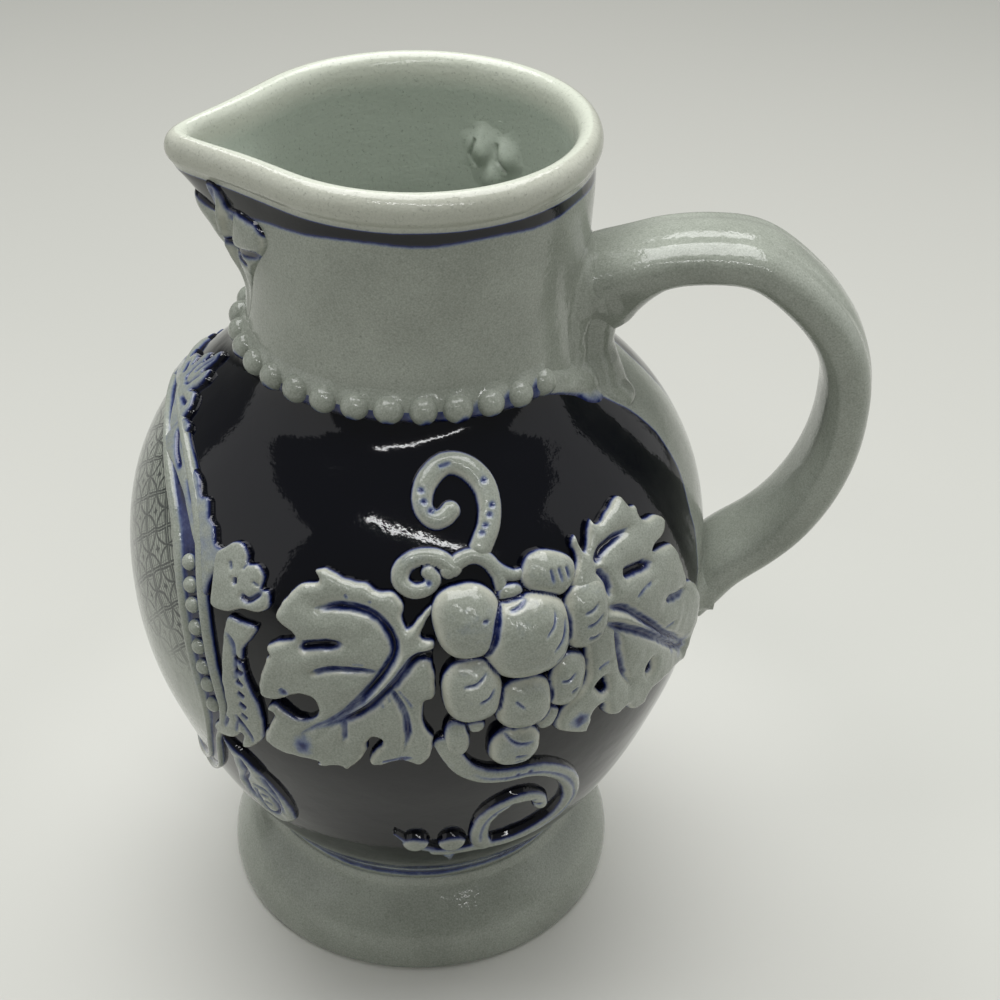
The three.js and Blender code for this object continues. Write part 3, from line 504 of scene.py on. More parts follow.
def relief(centre, middle, reach, form, step, pale_sheen_edges=True):
    """Closed body over the skin: a height field on a grid of millimetres round and up, kept where it is above
    the skin or just under it, with a floor under the skin and walls between the two. Form gives its heights
    and its cobalt."""
    (x0, x1), (y0, y1) = reach
    gx, gy = np.meshgrid(np.arange(x0, x1 + step, step), np.arange(y0, y1 + step, step), indexing="ij")
    h, cobalt = form(gx, gy)
    keep = kept_cells(h)
    i, j = np.nonzero(keep)
    columns, offset = gx.shape[1], gx.size
    corner, after = i * columns + j, (i + 1) * columns + j
    top = np.stack([corner, after, after + 1, corner + 1], -1)
    padded = np.pad(keep, 1)
    walls = []
    for di, dj, p, q in ((-1, 0, 3, 0), (1, 0, 1, 2), (0, -1, 0, 1), (0, 1, 2, 3)):
        open_side = ~padded[i + 1 + di, j + 1 + dj]
        a, b = top[open_side, p], top[open_side, q]
        walls.append(np.stack([b, a, a + offset, b + offset], -1))
    used, quads = np.unique(np.concatenate([top, top[:, ::-1] + offset, *walls]), return_inverse=True)
    deg, z = from_skin(gx.ravel(), gy.ravel(), centre + middle)
    lift = np.concatenate([np.maximum(h, -RELIEF_FLOOR).ravel(), np.minimum(h, 0).ravel() - RELIEF_FLOOR])
    points = on_vessel(np.tile(deg, 2), np.tile(z, 2), lift)[used]
    values = {"cobalt": cobalt}
    # Steep edges of the relief are painted paler: partly thin glaze, partly a painted highlight
    if pale_sheen_edges:
        slope = np.hypot(*np.gradient(h, step))
        values["rim"] = smoothstep(slope, 0.5, 1.5) * smoothstep(h, 0.3, 0.8)
    values = {key: np.tile(value.ravel(), 2)[used] for key, value in values.items()}
    return points, [quads.reshape(-1, 4)], values


def reach_of(*lines, margin=1.1):
    """Box round some lines over the skin."""
    p = np.concatenate(lines)
    return [(p[:, k].min() - margin, p[:, k].max() + margin) for k in (0, 1)]


def edge_paint(h, step):
    """Cobalt that ran against the relief: it thins out over the first millimetre above the skin, and stands
    higher against edges that face up the jug."""
    falling = -np.gradient(h, step, axis=1)
    return 0.66 - 0.8 * h + 0.3 * np.clip(falling / 1.5, -1, 1)


# Vine relief: lines give the angle from the relief's middle and the height

LEAF_FRONT = [
    (-32.3, 102.1), (-29.8, 102.7), (-26, 101.8), (-21.4, 101.4), (-19.5, 100.5), (-16.6, 100.5),
    (-14.8, 98.8), (-14.9, 97), (-14.2, 95.2), (-12.2, 97), (-9.8, 98.8), (-9.5, 97.8), (-11.7, 94.1),
    (-9.3, 93.3), (-9.7, 90.6), (-9.3, 86.7), (-9.4, 83.2), (-11.2, 82.1), (-11.4, 78.7), (-10.4, 76.4),
    (-9.6, 74.4), (-10.4, 70.3), (-12.5, 68.7), (-15.2, 69.6), (-19.5, 68.2), (-21.2, 68.8), (-20.8, 71),
    (-18.9, 73.7), (-20, 74.7), (-21.3, 73.2), (-21.9, 70.3), (-25, 66.7), (-26.8, 67.2), (-31.2, 65.7),
    (-30.8, 67.4), (-37, 67.1), (-40.2, 68.4), (-41.2, 70), (-38.7, 75.5), (-40.2, 76), (-38.5, 78.3),
    (-34.7, 76.3), (-32.4, 76.4), (-30.3, 78.2), (-30.9, 80.9), (-33.7, 81.1), (-38.3, 78.6), (-41.5, 79.7),
    (-40.2, 86.1), (-39.5, 87.1), (-40, 88.6), (-37.9, 90.5), (-35, 91.6), (-38.1, 93.1), (-38.8, 94.7),
    (-36.8, 98), (-34.5, 100), (-31.4, 100.7)]
# Each cut has its line, half width and depth, each rib its line, half width and rise, each blot its radius
LEAF_FRONT_CUTS = [
    ([(-31, 96.8), (-26, 97.8), (-20.6, 97.2), (-17.3, 94.5), (-16.4, 91.6), (-17.9, 88.4), (-21.4, 83.7),
      (-26, 78.6), (-30, 75.8), (-33.2, 73.4)], 0.75, 1.3),
    ([(-8.6, 90.8), (-12.5, 90.6), (-15.2, 87.6), (-18.2, 83.9), (-22, 80.2), (-26, 77.6), (-30, 75.2)],
     0.8, 1.4),
    ([(-31.4, 86.1), (-27.6, 87.4), (-23, 87.9), (-18.6, 87.9)], 0.45, 0.9),
    ([(-33.4, 90.2), (-30, 91.2), (-25.6, 91.9)], 0.85, 1.5),
    ([(-17.2, 85), (-14.9, 81), (-14.2, 76.6), (-14.9, 72.4)], 0.55, 1.0),
    ([(-15.9, 85), (-14, 82.6), (-13, 80.4)], 0.35, 0.5),
    ([(-25.2, 77.8), (-25.3, 75), (-25.7, 73.2)], 0.5, 0.8), ([(-25.8, 99.6), (-24.9, 98.8)], 0.3, 0.4),
    ([(-21.1, 99.2), (-20.9, 98.4)], 0.3, 0.35), ([(-18.8, 82.6), (-18, 81)], 0.3, 0.4),
    ([(-17.6, 83.6), (-17, 82.2)], 0.3, 0.4), ([(-24, 88.9), (-21, 89)], 0.28, 0.3),
    ([(-19, 69.6), (-16, 70.6), (-12.9, 71.2)], 0.6, 0.5), ([(-36.8, 82.2), (-35.4, 81.2)], 0.5, 0.5),
    ([(-39.8, 89.3), (-36, 91), (-33.4, 91.5)], 0.4, 0.5)]
LEAF_FRONT_RIBS = [
    ([(-9, 92.4), (-13.6, 91), (-17.2, 86.4), (-21.7, 82), (-26, 78.1), (-31, 75)], 0.75, 0.55)]
LEAF_FRONT_BLOTS = [(-32.9, 71.4, 2.0), (-35.9, 81.6, 0.9), (-15.4, 70.4, 1.3)]

LEAF_REAR = [
    (16.9, 92.8), (17.1, 97.9), (19.6, 101.1), (19.4, 103.2), (20.9, 104.3), (21.9, 101.5), (24, 104.2),
    (25.6, 105.3), (26.7, 104.3), (31.2, 105.5), (35, 106.1), (36.5, 104.2), (38.1, 103.6), (38.3, 101.5),
    (42.1, 100.8), (44.5, 99.1), (42.5, 96.9), (38.6, 96.2), (44.2, 94.9), (46.2, 91.1), (47.7, 86.4),
    (50, 84.7), (52.6, 81.7), (53.2, 78.1), (51.2, 73), (49.2, 67.8), (42.9, 69.2), (35.8, 69.7),
    (34.2, 67.4), (30.6, 67.6), (28.3, 69.9), (26.2, 69), (23.4, 70.8), (22.6, 73.6), (20.6, 73.2),
    (20.4, 70.8), (19, 68.5), (13.3, 71.2), (12.4, 73.4), (13.6, 76.2), (17.4, 79.6), (18.6, 82.4),
    (18.2, 86.6)]
LEAF_REAR_HOLES = [
    [(20.6, 78.6), (22.4, 79.2), (23.2, 77), (22.2, 76.4)],
    [(33.6, 76.4), (34.6, 76.8), (35, 75), (34, 74.6)]]
LEAF_REAR_CUTS = [
    ([(29, 95.6), (32, 95.5), (36.8, 94.7)], 0.9, 1.5),
    ([(23.4, 99.2), (25.4, 100.6), (28.4, 101.2), (33.4, 101.5)], 0.75, 1.2),
    ([(23.2, 98.4), (24.7, 96.2), (24.9, 93.4)], 0.6, 1.1),
    ([(24.2, 92), (27.9, 90.3), (31.4, 87.2), (35.4, 83.4), (39.2, 79.6), (43, 76.6), (48, 72.4)],
     0.7, 1.2),
    ([(23.4, 89.4), (27.9, 86.6), (31.4, 84.4), (35.6, 81.2), (39.2, 78), (44, 74.2), (47.4, 71)],
     0.75, 1.2),
    ([(25.4, 87.6), (26, 82.5), (27, 78.4), (29, 75)], 0.5, 0.9),
    ([(30.4, 91), (33.4, 92), (37, 92)], 0.35, 0.4), ([(20.4, 82), (22.4, 82.5), (24, 82)], 0.4, 0.4),
    ([(39.4, 86.6), (42.6, 85.6), (47, 84.6)], 0.7, 0.8), ([(38.6, 81.4), (42, 81.2)], 0.35, 0.4),
    ([(42.6, 96.4), (38.4, 96)], 0.4, 0.5)]
LEAF_REAR_RIBS = [([(22.8, 90.8), (27.9, 88.5), (33.4, 84.2), (37.6, 80), (43, 75.6)], 0.8, 0.5)]
LEAF_REAR_BLOTS = [(17, 73, 1.9), (46, 73, 2.2), (42, 75.5, 1.5), (39.5, 103, 1.0)]

# Grapes: angle, height, half width, half height, tilt
GRAPES = np.array([
    (7.3, 91.9, 7.2, 6.9, 0), (-3.2, 95.7, 5.5, 6.1, 8), (13.2, 100.4, 4.9, 3.6, -25),
    (19.4, 92.6, 4.3, 6, 0), (-3, 83.9, 4.8, 6.1, 6), (6.3, 80, 4.8, 5.1, 0), (14.4, 82, 3.5, 5.3, -12),
    (4.8, 71.2, 4.4, 4.3, 0), (-2.4, 76.8, 1.7, 1.6, 0), (10.9, 75.5, 1.9, 2.9, -25),
    (5.1, 98.9, 2.3, 1.8, 0), (-5.7, 74.4, 2.2, 4.3, 4)])
# Nicks pressed across the grapes: angle, height
NICKS = [
    [(8.9, 92.4), (11, 93.9), (11.8, 95.9)], [(10.2, 89.8), (12.6, 91.4), (13.6, 94.0)],
    [(11.2, 87.3), (13.8, 88.8), (14.6, 91.4)], [(3.7, 96.7), (5.6, 97.1), (7.5, 97.9)],
    [(12.7, 101.2), (13, 98.9)], [(14.3, 101.1), (14.7, 98.8)], [(16.0, 100.9), (16.4, 98.9)],
    [(17.5, 93.4), (19.4, 93.6), (20.9, 94.4)], [(17.7, 91.4), (19.6, 91.5), (21.6, 92.5)],
    [(18.1, 89.3), (19.4, 88.9), (20.8, 89.2)], [(-5, 86.1), (-2.6, 86.5), (-0.7, 87.9)],
    [(-2.5, 83.2), (-0.6, 83.7), (0.4, 85.2)], [(3.9, 82.1), (5.6, 80.5)],
    [(12.5, 83.0), (14, 83), (15.4, 84)], [(14.3, 80.5), (15.9, 80.9)],
    [(2.2, 75), (4.4, 73.2), (7.6, 72.6)], [(4, 70.7), (6.4, 70.3)], [(4.2, 69), (6, 68.8)],
    [(-1.4, 96.2), (-0.2, 96.1)]]

HOOK = [(0.6, 105.6), (3.0, 108), (4.2, 110.4), (4.0, 112.6), (1.9, 114.3), (-1.5, 115.3), (-5.2, 115.4),
        (-8.6, 114.4), (-10.8, 112.8), (-11.0, 110.8), (-8.8, 109.4), (-6.4, 109.6), (-4.8, 110.3)]
HOOK_DOTS = [(-11.3, 112.4), (-10.7, 111.2), (-9.2, 110.2), (3.7, 112.9), (4.3, 110.1), (3.3, 109.1),
             (2.0, 108.0), (1.1, 107.2)]
CURL = [(-5.4, 103.3), (-7.6, 104.5), (-10.2, 105), (-13.2, 104.7), (-15.4, 103.4), (-15.4, 101.6),
        (-13.2, 100.5), (-10.6, 100.8), (-9.2, 102), (-10.2, 103)]
CURL_DOTS = [(-13, 103), (-10.2, 101.5)]
ARCH = [(-6.4, 103), (-3.8, 104.3), (-1, 104.7), (1.6, 103.8), (3.2, 101.9), (3.6, 99.8)]
ARCH_TWIG = [(2, 103.4), (4.4, 101.9), (6.6, 101.2), (9.6, 101.6)]
TAIL = [(-7.8, 73), (-6.2, 69.6), (-4, 66.4), (-0.5, 64.1), (4, 63.1), (8.5, 62.9), (12.5, 61.4),
        (16.5, 58.3), (19.5, 54.3), (21.4, 50.2), (21.8, 46.9), (20.6, 43.7), (17.5, 41.2), (13, 39.5),
        (8, 38.7), (3, 38.8), (-2, 38.6), (-6, 38.3), (-9, 38.7)]
TAIL_RING = [(2.6, 39), (1.3, 41.5), (0.8, 45.2), (1.3, 49.2), (3.4, 52.5), (6.7, 54.5), (10.2, 54.2),
             (12.8, 52.2), (14.1, 49.4)]
TAIL_TWIG = [(-8, 38.6), (-11, 39.6), (-14.2, 41.4), (-18, 45.4)]
TAIL_STUB = [(-6.2, 38.8), (-5.4, 36), (-4.8, 33.2)]
TAIL_STEM = [(-5.1, 42), (-5.3, 38.6)]
BERRIES = [(-13.4, 42.3, 2.5), (-5.2, 42, 2.6)]
HOOK_CREASE = [(-7, 114.8), (-3.4, 115.2)]
TAIL_DOTS = [(3.8, 63), (6, 63.2), (8.4, 63.2), (3, 51.4), (6.6, 53.6), (11.2, 52.8), (12.9, 50.8)]
TAIL_CREASES = [
    [(-3, 66), (0, 64), (4, 63.1), (8.5, 62.9), (12.5, 61.4), (16.5, 58.3), (19.5, 54.3), (21.4, 50.2),
     (21.8, 46.9), (20.6, 43.7), (17.5, 41.2), (13, 39.5)],
    [(1.3, 41.5), (0.8, 45.2), (1.3, 49.2), (3.4, 52.5), (6.7, 54.5)]]


def leaf(outline, cuts, ribs, blots, seed, holes=()):
    """Leaf: its height rises in a quarter round from the outline, swells between the veins, falls in a bell
    curve across each cut and rises in one along each rib."""
    lift, step = 1.5, 0.27
    middle = middle_angle(outline)
    ring = smooth_line(to_skin(outline, middle), True, 4)
    hole_rings = [smooth_line(to_skin(hole, middle), True, 5) for hole in holes]

    def form(x, y):
        s = inside_distance(x, y, ring) + 0.14 * ripple(x, y, seed, 2.6)
        for hole in hole_rings:
            s = np.minimum(s, -inside_distance(x, y, hole))
        vein = np.full(x.shape, 9.0)
        sunk = np.zeros(x.shape)
        inked = np.full(x.shape, -9.0)
        for line, width, depth in laid(cuts, middle):
            d, t = line_distance(x, y, line)
            if depth > 0.6:
                vein = np.minimum(vein, d)
            fade = np.clip(t / 0.1, 0, 1) * np.clip((1 - t) / 0.3, 0, 1)
            sunk = np.maximum(sunk, 0.85 * depth * np.exp(-(d / (1.15 * width)) ** 2) * np.sqrt(fade))
            inked = np.maximum(inked, (width - d) * 0.9 - 0.7 * (1 - fade) + 0.3 * min(depth - 0.9, 0))
        uneven = 0.26 * ripple(x, y, seed + 1, 10) + 0.07 * ripple(x, y, seed + 2, 3.1)
        swell = 0.95 * (1 - np.exp(-vein / 1.8)) + uneven
        h = rounded_edge(s, 1.9, 2.4) * np.where(s > 0, lift + swell, 1)
        h = h - np.where(s > 0, np.minimum(sunk, np.maximum(h - 0.15, 0)), 0)
        for line, width, rise in laid(ribs, middle):
            h = h + np.where(s > 0, rise * groove(x, y, line, width, 0.02, 0.3), 0)
        ink = np.minimum(inked - 0.15, 0.02) + 0.14 * ripple(x, y, seed + 3, 2.2)
        for a, z, size in blots:
            bx, by = to_skin([(a, z)], middle)[0]
            blot = 0.25 - np.hypot(x - bx, y - by) / size * 0.6 + 0.1 * ripple(x, y, seed, 1.7)
            ink = np.maximum(ink, blot)
        settled = -0.08 - 0.7 * np.maximum(s, 0) + 0.12 * ripple(x, y, seed + 6, 1.5)
        return h, np.maximum.reduce([edge_paint(h, step), settled, ink])

    return relief(SIDE_ANGLE, middle, reach_of(ring), form, step)


def grape_bunch():
    """Bunch: the highest of squarish domes of power 2.5 that meet in narrow creases, with short bell-curve
    nicks."""
    middle, step = 7.0, 0.25
    # Each grape swells a little over its outline and presses on its neighbours
    fullness = 1.05
    place = to_skin(GRAPES[:, :2], middle)

    def form(x, y):
        first = np.full(x.shape, -9.0)
        second = np.full(x.shape, -9.0)
        for (px, py), (half_width, half_height, tilt) in zip(place, GRAPES[:, 2:]):
            c, s = math.cos(tilt * DEG), math.sin(tilt * DEG)
            w, tall = fullness * half_width, fullness * half_height
            u, v = np.abs((x - px) * c + (y - py) * s) / w, np.abs((y - py) * c - (x - px) * s) / tall
            size = min(w, tall)
            here = dome((u**2.5 + v**2.5) ** 0.4, size * 0.66 + 1.0, size, 2.2)
            second = np.maximum(second, np.minimum(first, here))
            first = np.maximum(first, here)
        crease = first - second
        cut = np.zeros(x.shape)
        for nick in NICKS:
            cut = np.maximum(cut, groove(x, y, smooth_line(to_skin(nick, middle)), 0.3, 0.2, 0.35))
        pressed = 0.9 * np.exp(-crease / 0.55) * (second > -0.5)
        h = first + 0.05 * ripple(x, y, 4, 2.5) - np.where(first > 0.6, 0.5 * cut + pressed, 0)
        settled = np.where(second > -0.4, np.minimum(0.72 - crease / 1.05, 0.1), -1)
        ink = np.maximum(settled + 0.12 * ripple(x, y, 6, 1.9), cut * 0.5 - 0.45)
        return h, np.maximum(edge_paint(h, step) + 0.3, ink)

    corners = np.concatenate([place - GRAPES[:, 2:4] * 1.1, place + GRAPES[:, 2:4] * 1.1])
    return relief(SIDE_ANGLE, middle, reach_of(corners), form, step)


def tendril(strokes, middle, dots=(), berries=(), creases=()):
    """Rolls of clay laid along lines: a half ellipse across each, with the half width going from one end's
    value to the other's. Berries are half ellipsoids, and dots and creases are pressed in with bell
    curves."""
    step = 0.25
    lines = laid(strokes, middle)
    berry_places = [(to_skin([(a, z)], middle)[0], size) for a, z, size in berries]

    def form(x, y):
        h = np.full(x.shape, -9.0)
        for line, w0, w1, rise in lines:
            d, t = line_distance(x, y, line)
            w = w0 + (w1 - w0) * smoothstep(t, 0.45, 1)
            h = soft_max(h, dome(d / w, rise * (0.55 + 0.45 * w / w0), w, 1.9), 0.2)
        for (bx, by), size in berry_places:
            h = soft_max(h, dome(np.hypot(x - bx, y - by) / size, size * 0.85, size, 1.9), 0.2)
        mark = np.zeros(x.shape)
        for dot in dots:
            bx, by = to_skin([dot], middle)[0]
            mark = np.maximum(mark, np.exp(-((x - bx) ** 2 + (y - by) ** 2) / 0.3))
        for crease in creases:
            mark = np.maximum(mark, groove(x, y, smooth_line(to_skin(crease, middle)), 0.4, 0.15, 0.3) * 0.8)
        h = h - np.where(h > 0.8, 0.35 * mark, 0)
        return h, np.maximum(edge_paint(h, step), mark * 0.6 - 0.45)

    everything = np.concatenate([line for line, *_ in lines] + [np.array([p]) for p, _ in berry_places])
    return relief(SIDE_ANGLE, middle, reach_of(everything, margin=3.4), form, step)


def make_vine():
    """The sprigs of both flanks. Each stroke has its half width at the start and at the end, and its
    height."""
    add_pair("leaf_front", leaf(LEAF_FRONT, LEAF_FRONT_CUTS, LEAF_FRONT_RIBS, LEAF_FRONT_BLOTS, 5))
    add_pair("leaf_rear", leaf(LEAF_REAR, LEAF_REAR_CUTS, LEAF_REAR_RIBS, LEAF_REAR_BLOTS, 11,
                               LEAF_REAR_HOLES))
    add_pair("grape_bunch", grape_bunch())
    add_pair("tendril_hook", tendril([(HOOK, 2.1, 1.7, 2.0)], -3.5, HOOK_DOTS, creases=[HOOK_CREASE]))
    add_pair("tendril_curl", tendril([(CURL, 1.65, 1.35, 1.9)], -11, CURL_DOTS))
    add_pair("tendril_arch", tendril([(ARCH, 1.5, 1.2, 1.8), (ARCH_TWIG, 1.3, 1.1, 1.6)], 1.5))
    strokes = [(TAIL, 2.0, 1.3, 1.8), (TAIL_RING, 1.9, 1.5, 1.7), (TAIL_TWIG, 1.2, 0.4, 1.1),
               (TAIL_STUB, 1.5, 0.6, 1.1), (TAIL_STEM, 0.8, 0.8, 0.9)]
    add_pair("vine_tail", tendril(strokes, 4, TAIL_DOTS, BERRIES, TAIL_CREASES))


# Vessel and foot

# Line of the medallion's frame: degrees from its middle, height
MEDALLION = [
    (0, 106.5), (8, 106.1), (16, 104.6), (23.7, 102.2), (30, 99.1), (34.6, 94.5), (38.4, 86.9), (41, 78),
    (42.8, 70), (42.6, 63.5), (40, 57), (35.5, 50.4), (28, 45), (18, 41.2), (8, 39.3), (0, 38.8)]
MEDALLION_RING = MEDALLION + [(-a, z) for a, z in MEDALLION[-2:0:-1]]

# Edges of the cobalt beside the handle: height, degrees from the handle's middle
BESIDE_HANDLE = np.array([
    (18, 3.0), (40, 4.5), (52, 8.5), (60, 12.5), (70, 15), (78, 14.5), (86, 13.5), (93, 14.5), (99.6, 13.5),
    (107, 12), (112, 14), (115.5, 18), (118, 26), (120.5, 40), (123, 43)])

# Painted cobalt: heights of the ground, of the band under the rim and of the line over the foot
GROUND_FROM, GROUND_TO, BAND_FROM, BAND_TO, FOOT_LINE = 22.9, 121.6, 151.9, 154.4, 20.3


def vessel_paint(deg, z):
    """Distance in millimetres into the cobalt: the ground between the foot and the collar, open beside the
    handle and inside the medallion, and the band under the rim that grows into a field under the spout."""
    radius = outside_radius(z)
    wave = 0.35 * np.sin(deg * DEG * 5 + 1) + 0.25 * np.sin(deg * DEG * 13)
    ground = np.minimum(z - GROUND_FROM - wave * 0.8, GROUND_TO + wave * 0.4 - z)
    edge = np.interp(z, *BESIDE_HANDLE.T) + 0.7 * np.sin(z * 0.23) + 0.3 * np.sin(z * 0.61)
    ground = np.minimum(ground, (np.abs(turn_from(deg, HANDLE_ANGLE)) - edge) * DEG * radius)
    around = turn_from(deg, MEDALLION_ANGLE)
    panel = panel_distance(around, z, around * DEG * radius, up_skin(z))
    # The wall stays grey inside the medallion's line and for 2.2 mm round it, under the frame
    ground = np.where(panel > -2.2, -1.5, np.minimum(ground, -panel - 1.0))
    from_spout = np.abs(turn_from(deg, SPOUT_ANGLE))
    field = 3.4 * np.exp(-(from_spout / 26) ** 2) + 1.2 * np.exp(-(from_spout / 45) ** 2)
    band = np.minimum(z - BAND_FROM - 0.25 * np.sin(deg * DEG * 9) + field, BAND_TO - z)
    line = np.minimum(0.95 - np.abs(z - FOOT_LINE - 0.3 * wave), 0.14)
    return np.maximum.reduce([ground, band, line])


def panel_distance(around, z, across, up):
    """Distance inside the medallion's line, worked out only for points near it."""
    distance = np.full(z.shape, -9.0)
    near = (np.abs(around) < 60) & (z > 30) & (z < 114)
    ring = smooth_line(to_skin(MEDALLION_RING, 0), True, 6)
    distance[near] = inside_distance(across[near], up[near], ring)
    return distance


def panel_place(points):
    """Millimetres over the skin across and up the medallion, and the distance inside its line."""
    around = turn_from(np.degrees(np.arctan2(points[:, 1], points[:, 0])), MEDALLION_ANGLE)
    z = points[:, 2]
    across, up = around * DEG * outside_radius(z), up_skin(z)
    on_outside = np.hypot(points[:, 0], points[:, 1]) > outside_radius(z) - 1
    inside = np.where(on_outside, panel_distance(around, z, across, up), -9.0)
    return {"panel_across": across, "panel_up": up, "panel_inside": inside}


def rings(profile, rounds):
    """Angle, radius and height at the points of a turned form: its profile's, repeated at even angles."""
    deg, r = np.meshgrid(SPOUT_ANGLE + np.arange(rounds) * 360 / rounds, profile[:, 0], indexing="ij")
    return deg, r, np.broadcast_to(profile[:, 1], deg.shape)


# Dished floor inside: radius, height
DISH = [(34.6, 30.5), (32.2, 28), (29, 25.2), (24, 23.7), (16, 23.4), (8, FLOOR_MIDDLE), (2, FLOOR_MIDDLE)]


def make_vessel(rounds=400):
    """Thrown wall: the outline outside, a half round at the rim, the wall's thickness inside and a dished
    floor. Two poles close the floor and the base."""
    z_out = np.concatenate([np.linspace(BODY_BASE, 24, 8), np.linspace(24.8, 153.6, 142)])
    base = [(2, BODY_BASE), (16, BODY_BASE)]
    outside = np.concatenate([base, np.stack([outside_radius(z_out), z_out], -1)])
    over = np.linspace(-55, 160, 24) * DEG
    rim = np.stack([RIM_RADIUS + RIM_ROLL * np.cos(over), TOP + RIM_DEPTH / 2 * (np.sin(over) - 1)], -1)
    z_in = np.linspace(156.8, 33, 42)
    # The wall's thickness is square to its face, less so on the steep shoulder, and is less in the neck
    slope = outside_radius(z_in + 0.5) - outside_radius(z_in - 0.5)
    thickness = WALL * np.minimum(np.sqrt(1 + slope**2), 1.45) - 0.5 * smoothstep(z_in, 114, 122)
    inside = np.stack([outside_radius(z_in) - thickness, z_in], -1)
    profile = np.concatenate([outside, rim, inside, evenly(smooth_line(DISH, per=12), 12)])
    deg, r, z = rings(profile, rounds)
    paint = np.full(deg.shape, -2.0)
    paint[:, :len(outside)] = vessel_paint(deg[:, :len(outside)], z[:, :len(outside)])
    poles = [(0, 0, BODY_BASE), (0, 0, FLOOR_MIDDLE)]
    points = np.concatenate([pulled(deg, r, z).reshape(-1, 3), poles])
    n = len(profile)
    i = np.arange(rounds)
    after = (i + 1) % rounds
    fans = [np.stack([np.full(rounds, rounds * n), after * n, i * n], -1),
            np.stack([np.full(rounds, rounds * n + 1), i * n + n - 1, after * n + n - 1], -1)]
    # The paler inside starts past the middle of the rim
    within = np.tile(np.arange(n) > len(outside) + 14, rounds)
    # The top of the rim is painted paler: partly thin glaze over the lip, partly a painted highlight
    add_mesh("thrown_vessel", "vessel", (points, [grid_quads(rounds, n, True, False), *fans], {
        "cobalt": np.concatenate([paint.ravel(), [-2, -2]]),
        "inside": np.concatenate([within, [0, 1]]),
        "rim": np.where(points[:, 2] > TOP - RIM_DEPTH, 0.8, 0),
        **panel_place(points)}), "cobalt_ground_glaze")


# Outside of the foot and the hollow under it: radius, height
FOOT = [(32.6, 0.02), (36.9, 0.02), (37.9, 0.9), (38.3, 2.8), (38.1, 5.6), (37.1, 8.6), (35.5, 11.4),
        (33.6, 13.8), (31.9, 15.9), (31.0, 18.2)]
FOOT_UNDER = [(23.5, 18.2), (24.6, 14), (26.9, 9), (29.6, 4.6), (31.8, 1.2), (32.6, 0.02)]


def make_foot(rounds=360):
    """Turned foot: its profile carried round the axis."""
    profile = np.concatenate([
        np.linspace(FOOT[0], FOOT[1], 6)[:-1], evenly(smooth_line(FOOT[1:], per=12), 60),
        np.linspace(FOOT[-1], FOOT_UNDER[0], 6)[1:-1], evenly(smooth_line(FOOT_UNDER, per=12), 30)[:-1]])
    deg, r, z = rings(profile, rounds)
    # A fine line of cobalt lies in the seam under the body
    paint = np.where((r > 30) & (z > 16), 0.4 - np.abs(18.9 - z), -2)
    points = pulled(deg, r, z).reshape(-1, 3)
    quads = grid_quads(rounds, len(profile), True, True)
    add_mesh("turned_foot", "foot_ring", (points, [quads], {"cobalt": paint.ravel()}))


# Handle

# Power of the superellipse that is the strap's section
STRAP_POWER = 2.6

# Distance from the axis, height, width, thickness
STRAP = [
    (28, 131.5, 18, 14.4), (31, 132.6, 18.4, 12.8), (34.5, 134.4, 18, 10.8), (42, 137.2, 18, 9),
    (50, 138.6, 18, 8.7), (58, 137, 18, 8.7), (65.8, 131.8, 18, 8.7), (71.4, 124.9, 18, 8.7),
    (74.4, 117, 18, 8.7), (74.9, 109.1, 18, 8.7), (74, 101.4, 18, 8.7), (71.6, 94, 18, 8.7),
    (67.6, 87, 18, 8.7), (62.4, 80.9, 18, 8.7), (56.5, 75.8, 18.6, 9.1), (53, 72.1, 19.6, 9.5),
    (50.5, 69.4, 20.2, 9.7)]


def strap_body(rings_per=16, sides=72):
    """Pulled strap: a superellipse carried along the handle's line, square to it, with the two shallow finger
    lines of the pull along its outer face."""
    line = smooth_line(STRAP, per=rings_per)
    line[:, 1] += 0.25 * np.sin(line[:, 0] * 0.35) * smoothstep(line[:, 0], 36, 46)
    distance, height, width, thickness = line[:, :1], line[:, 1:2], line[:, 2:3], line[:, 3:4]
    tangent = unit(np.gradient(line[:, :2], axis=0))
    a = HANDLE_ANGLE * DEG
    away, across = np.array([math.cos(a), math.sin(a), 0]), np.array([math.sin(a), -math.cos(a), 0])
    up = np.array([0, 0, 1.0])
    q = np.arange(sides) * 2 * math.pi / sides
    power = 2 / STRAP_POWER
    c = (np.sign(np.cos(q)) * np.abs(np.cos(q)) ** power)[None]
    s = (np.sign(np.sin(q)) * np.abs(np.sin(q)) ** power)[None]
    fingers = 0.32 * np.exp(-((c - 0.42) / 0.13) ** 2) + 0.26 * np.exp(-((c + 0.45) / 0.15) ** 2)
    dent = fingers * smoothstep(distance, 34, 46)
    # Near the wall the strap is drawn down and in, towards the clay smeared under it
    web = 3.2 * np.clip((41 - distance) / 7, 0, 1) ** 1.3
    half_thickness = thickness / 2 * s - np.where(s > 0, dent, web * np.abs(s) ** 1.5)
    half_width = width / 2 * c * (1 - 0.08 * web * np.maximum(-s, 0))
    out = -tangent[:, 1:2] * away + tangent[:, :1] * up
    here = distance * away + height * up
    points = here[:, None] + half_width[..., None] * across + half_thickness[..., None] * out[:, None]
    points = points.reshape(-1, 3)
    n = len(line)
    j = np.arange(sides // 2 - 1)
    cap = np.stack([j, j + 1, sides - 2 - j, sides - 1 - j], -1)
    # Both ends stop in the middle of the wall
    rho = np.hypot(points[:, 0], points[:, 1])
    mid_wall = outside_radius(points[:, 2]) - 0.5 * WALL
    points[:, :2] *= (np.maximum(rho, mid_wall) / rho)[:, None]
    faces = [grid_quads(n, sides, False, True), cap, cap[:, ::-1] + (n - 1) * sides]
    return points, faces, {"cobalt": np.full(len(points), -2.0)}


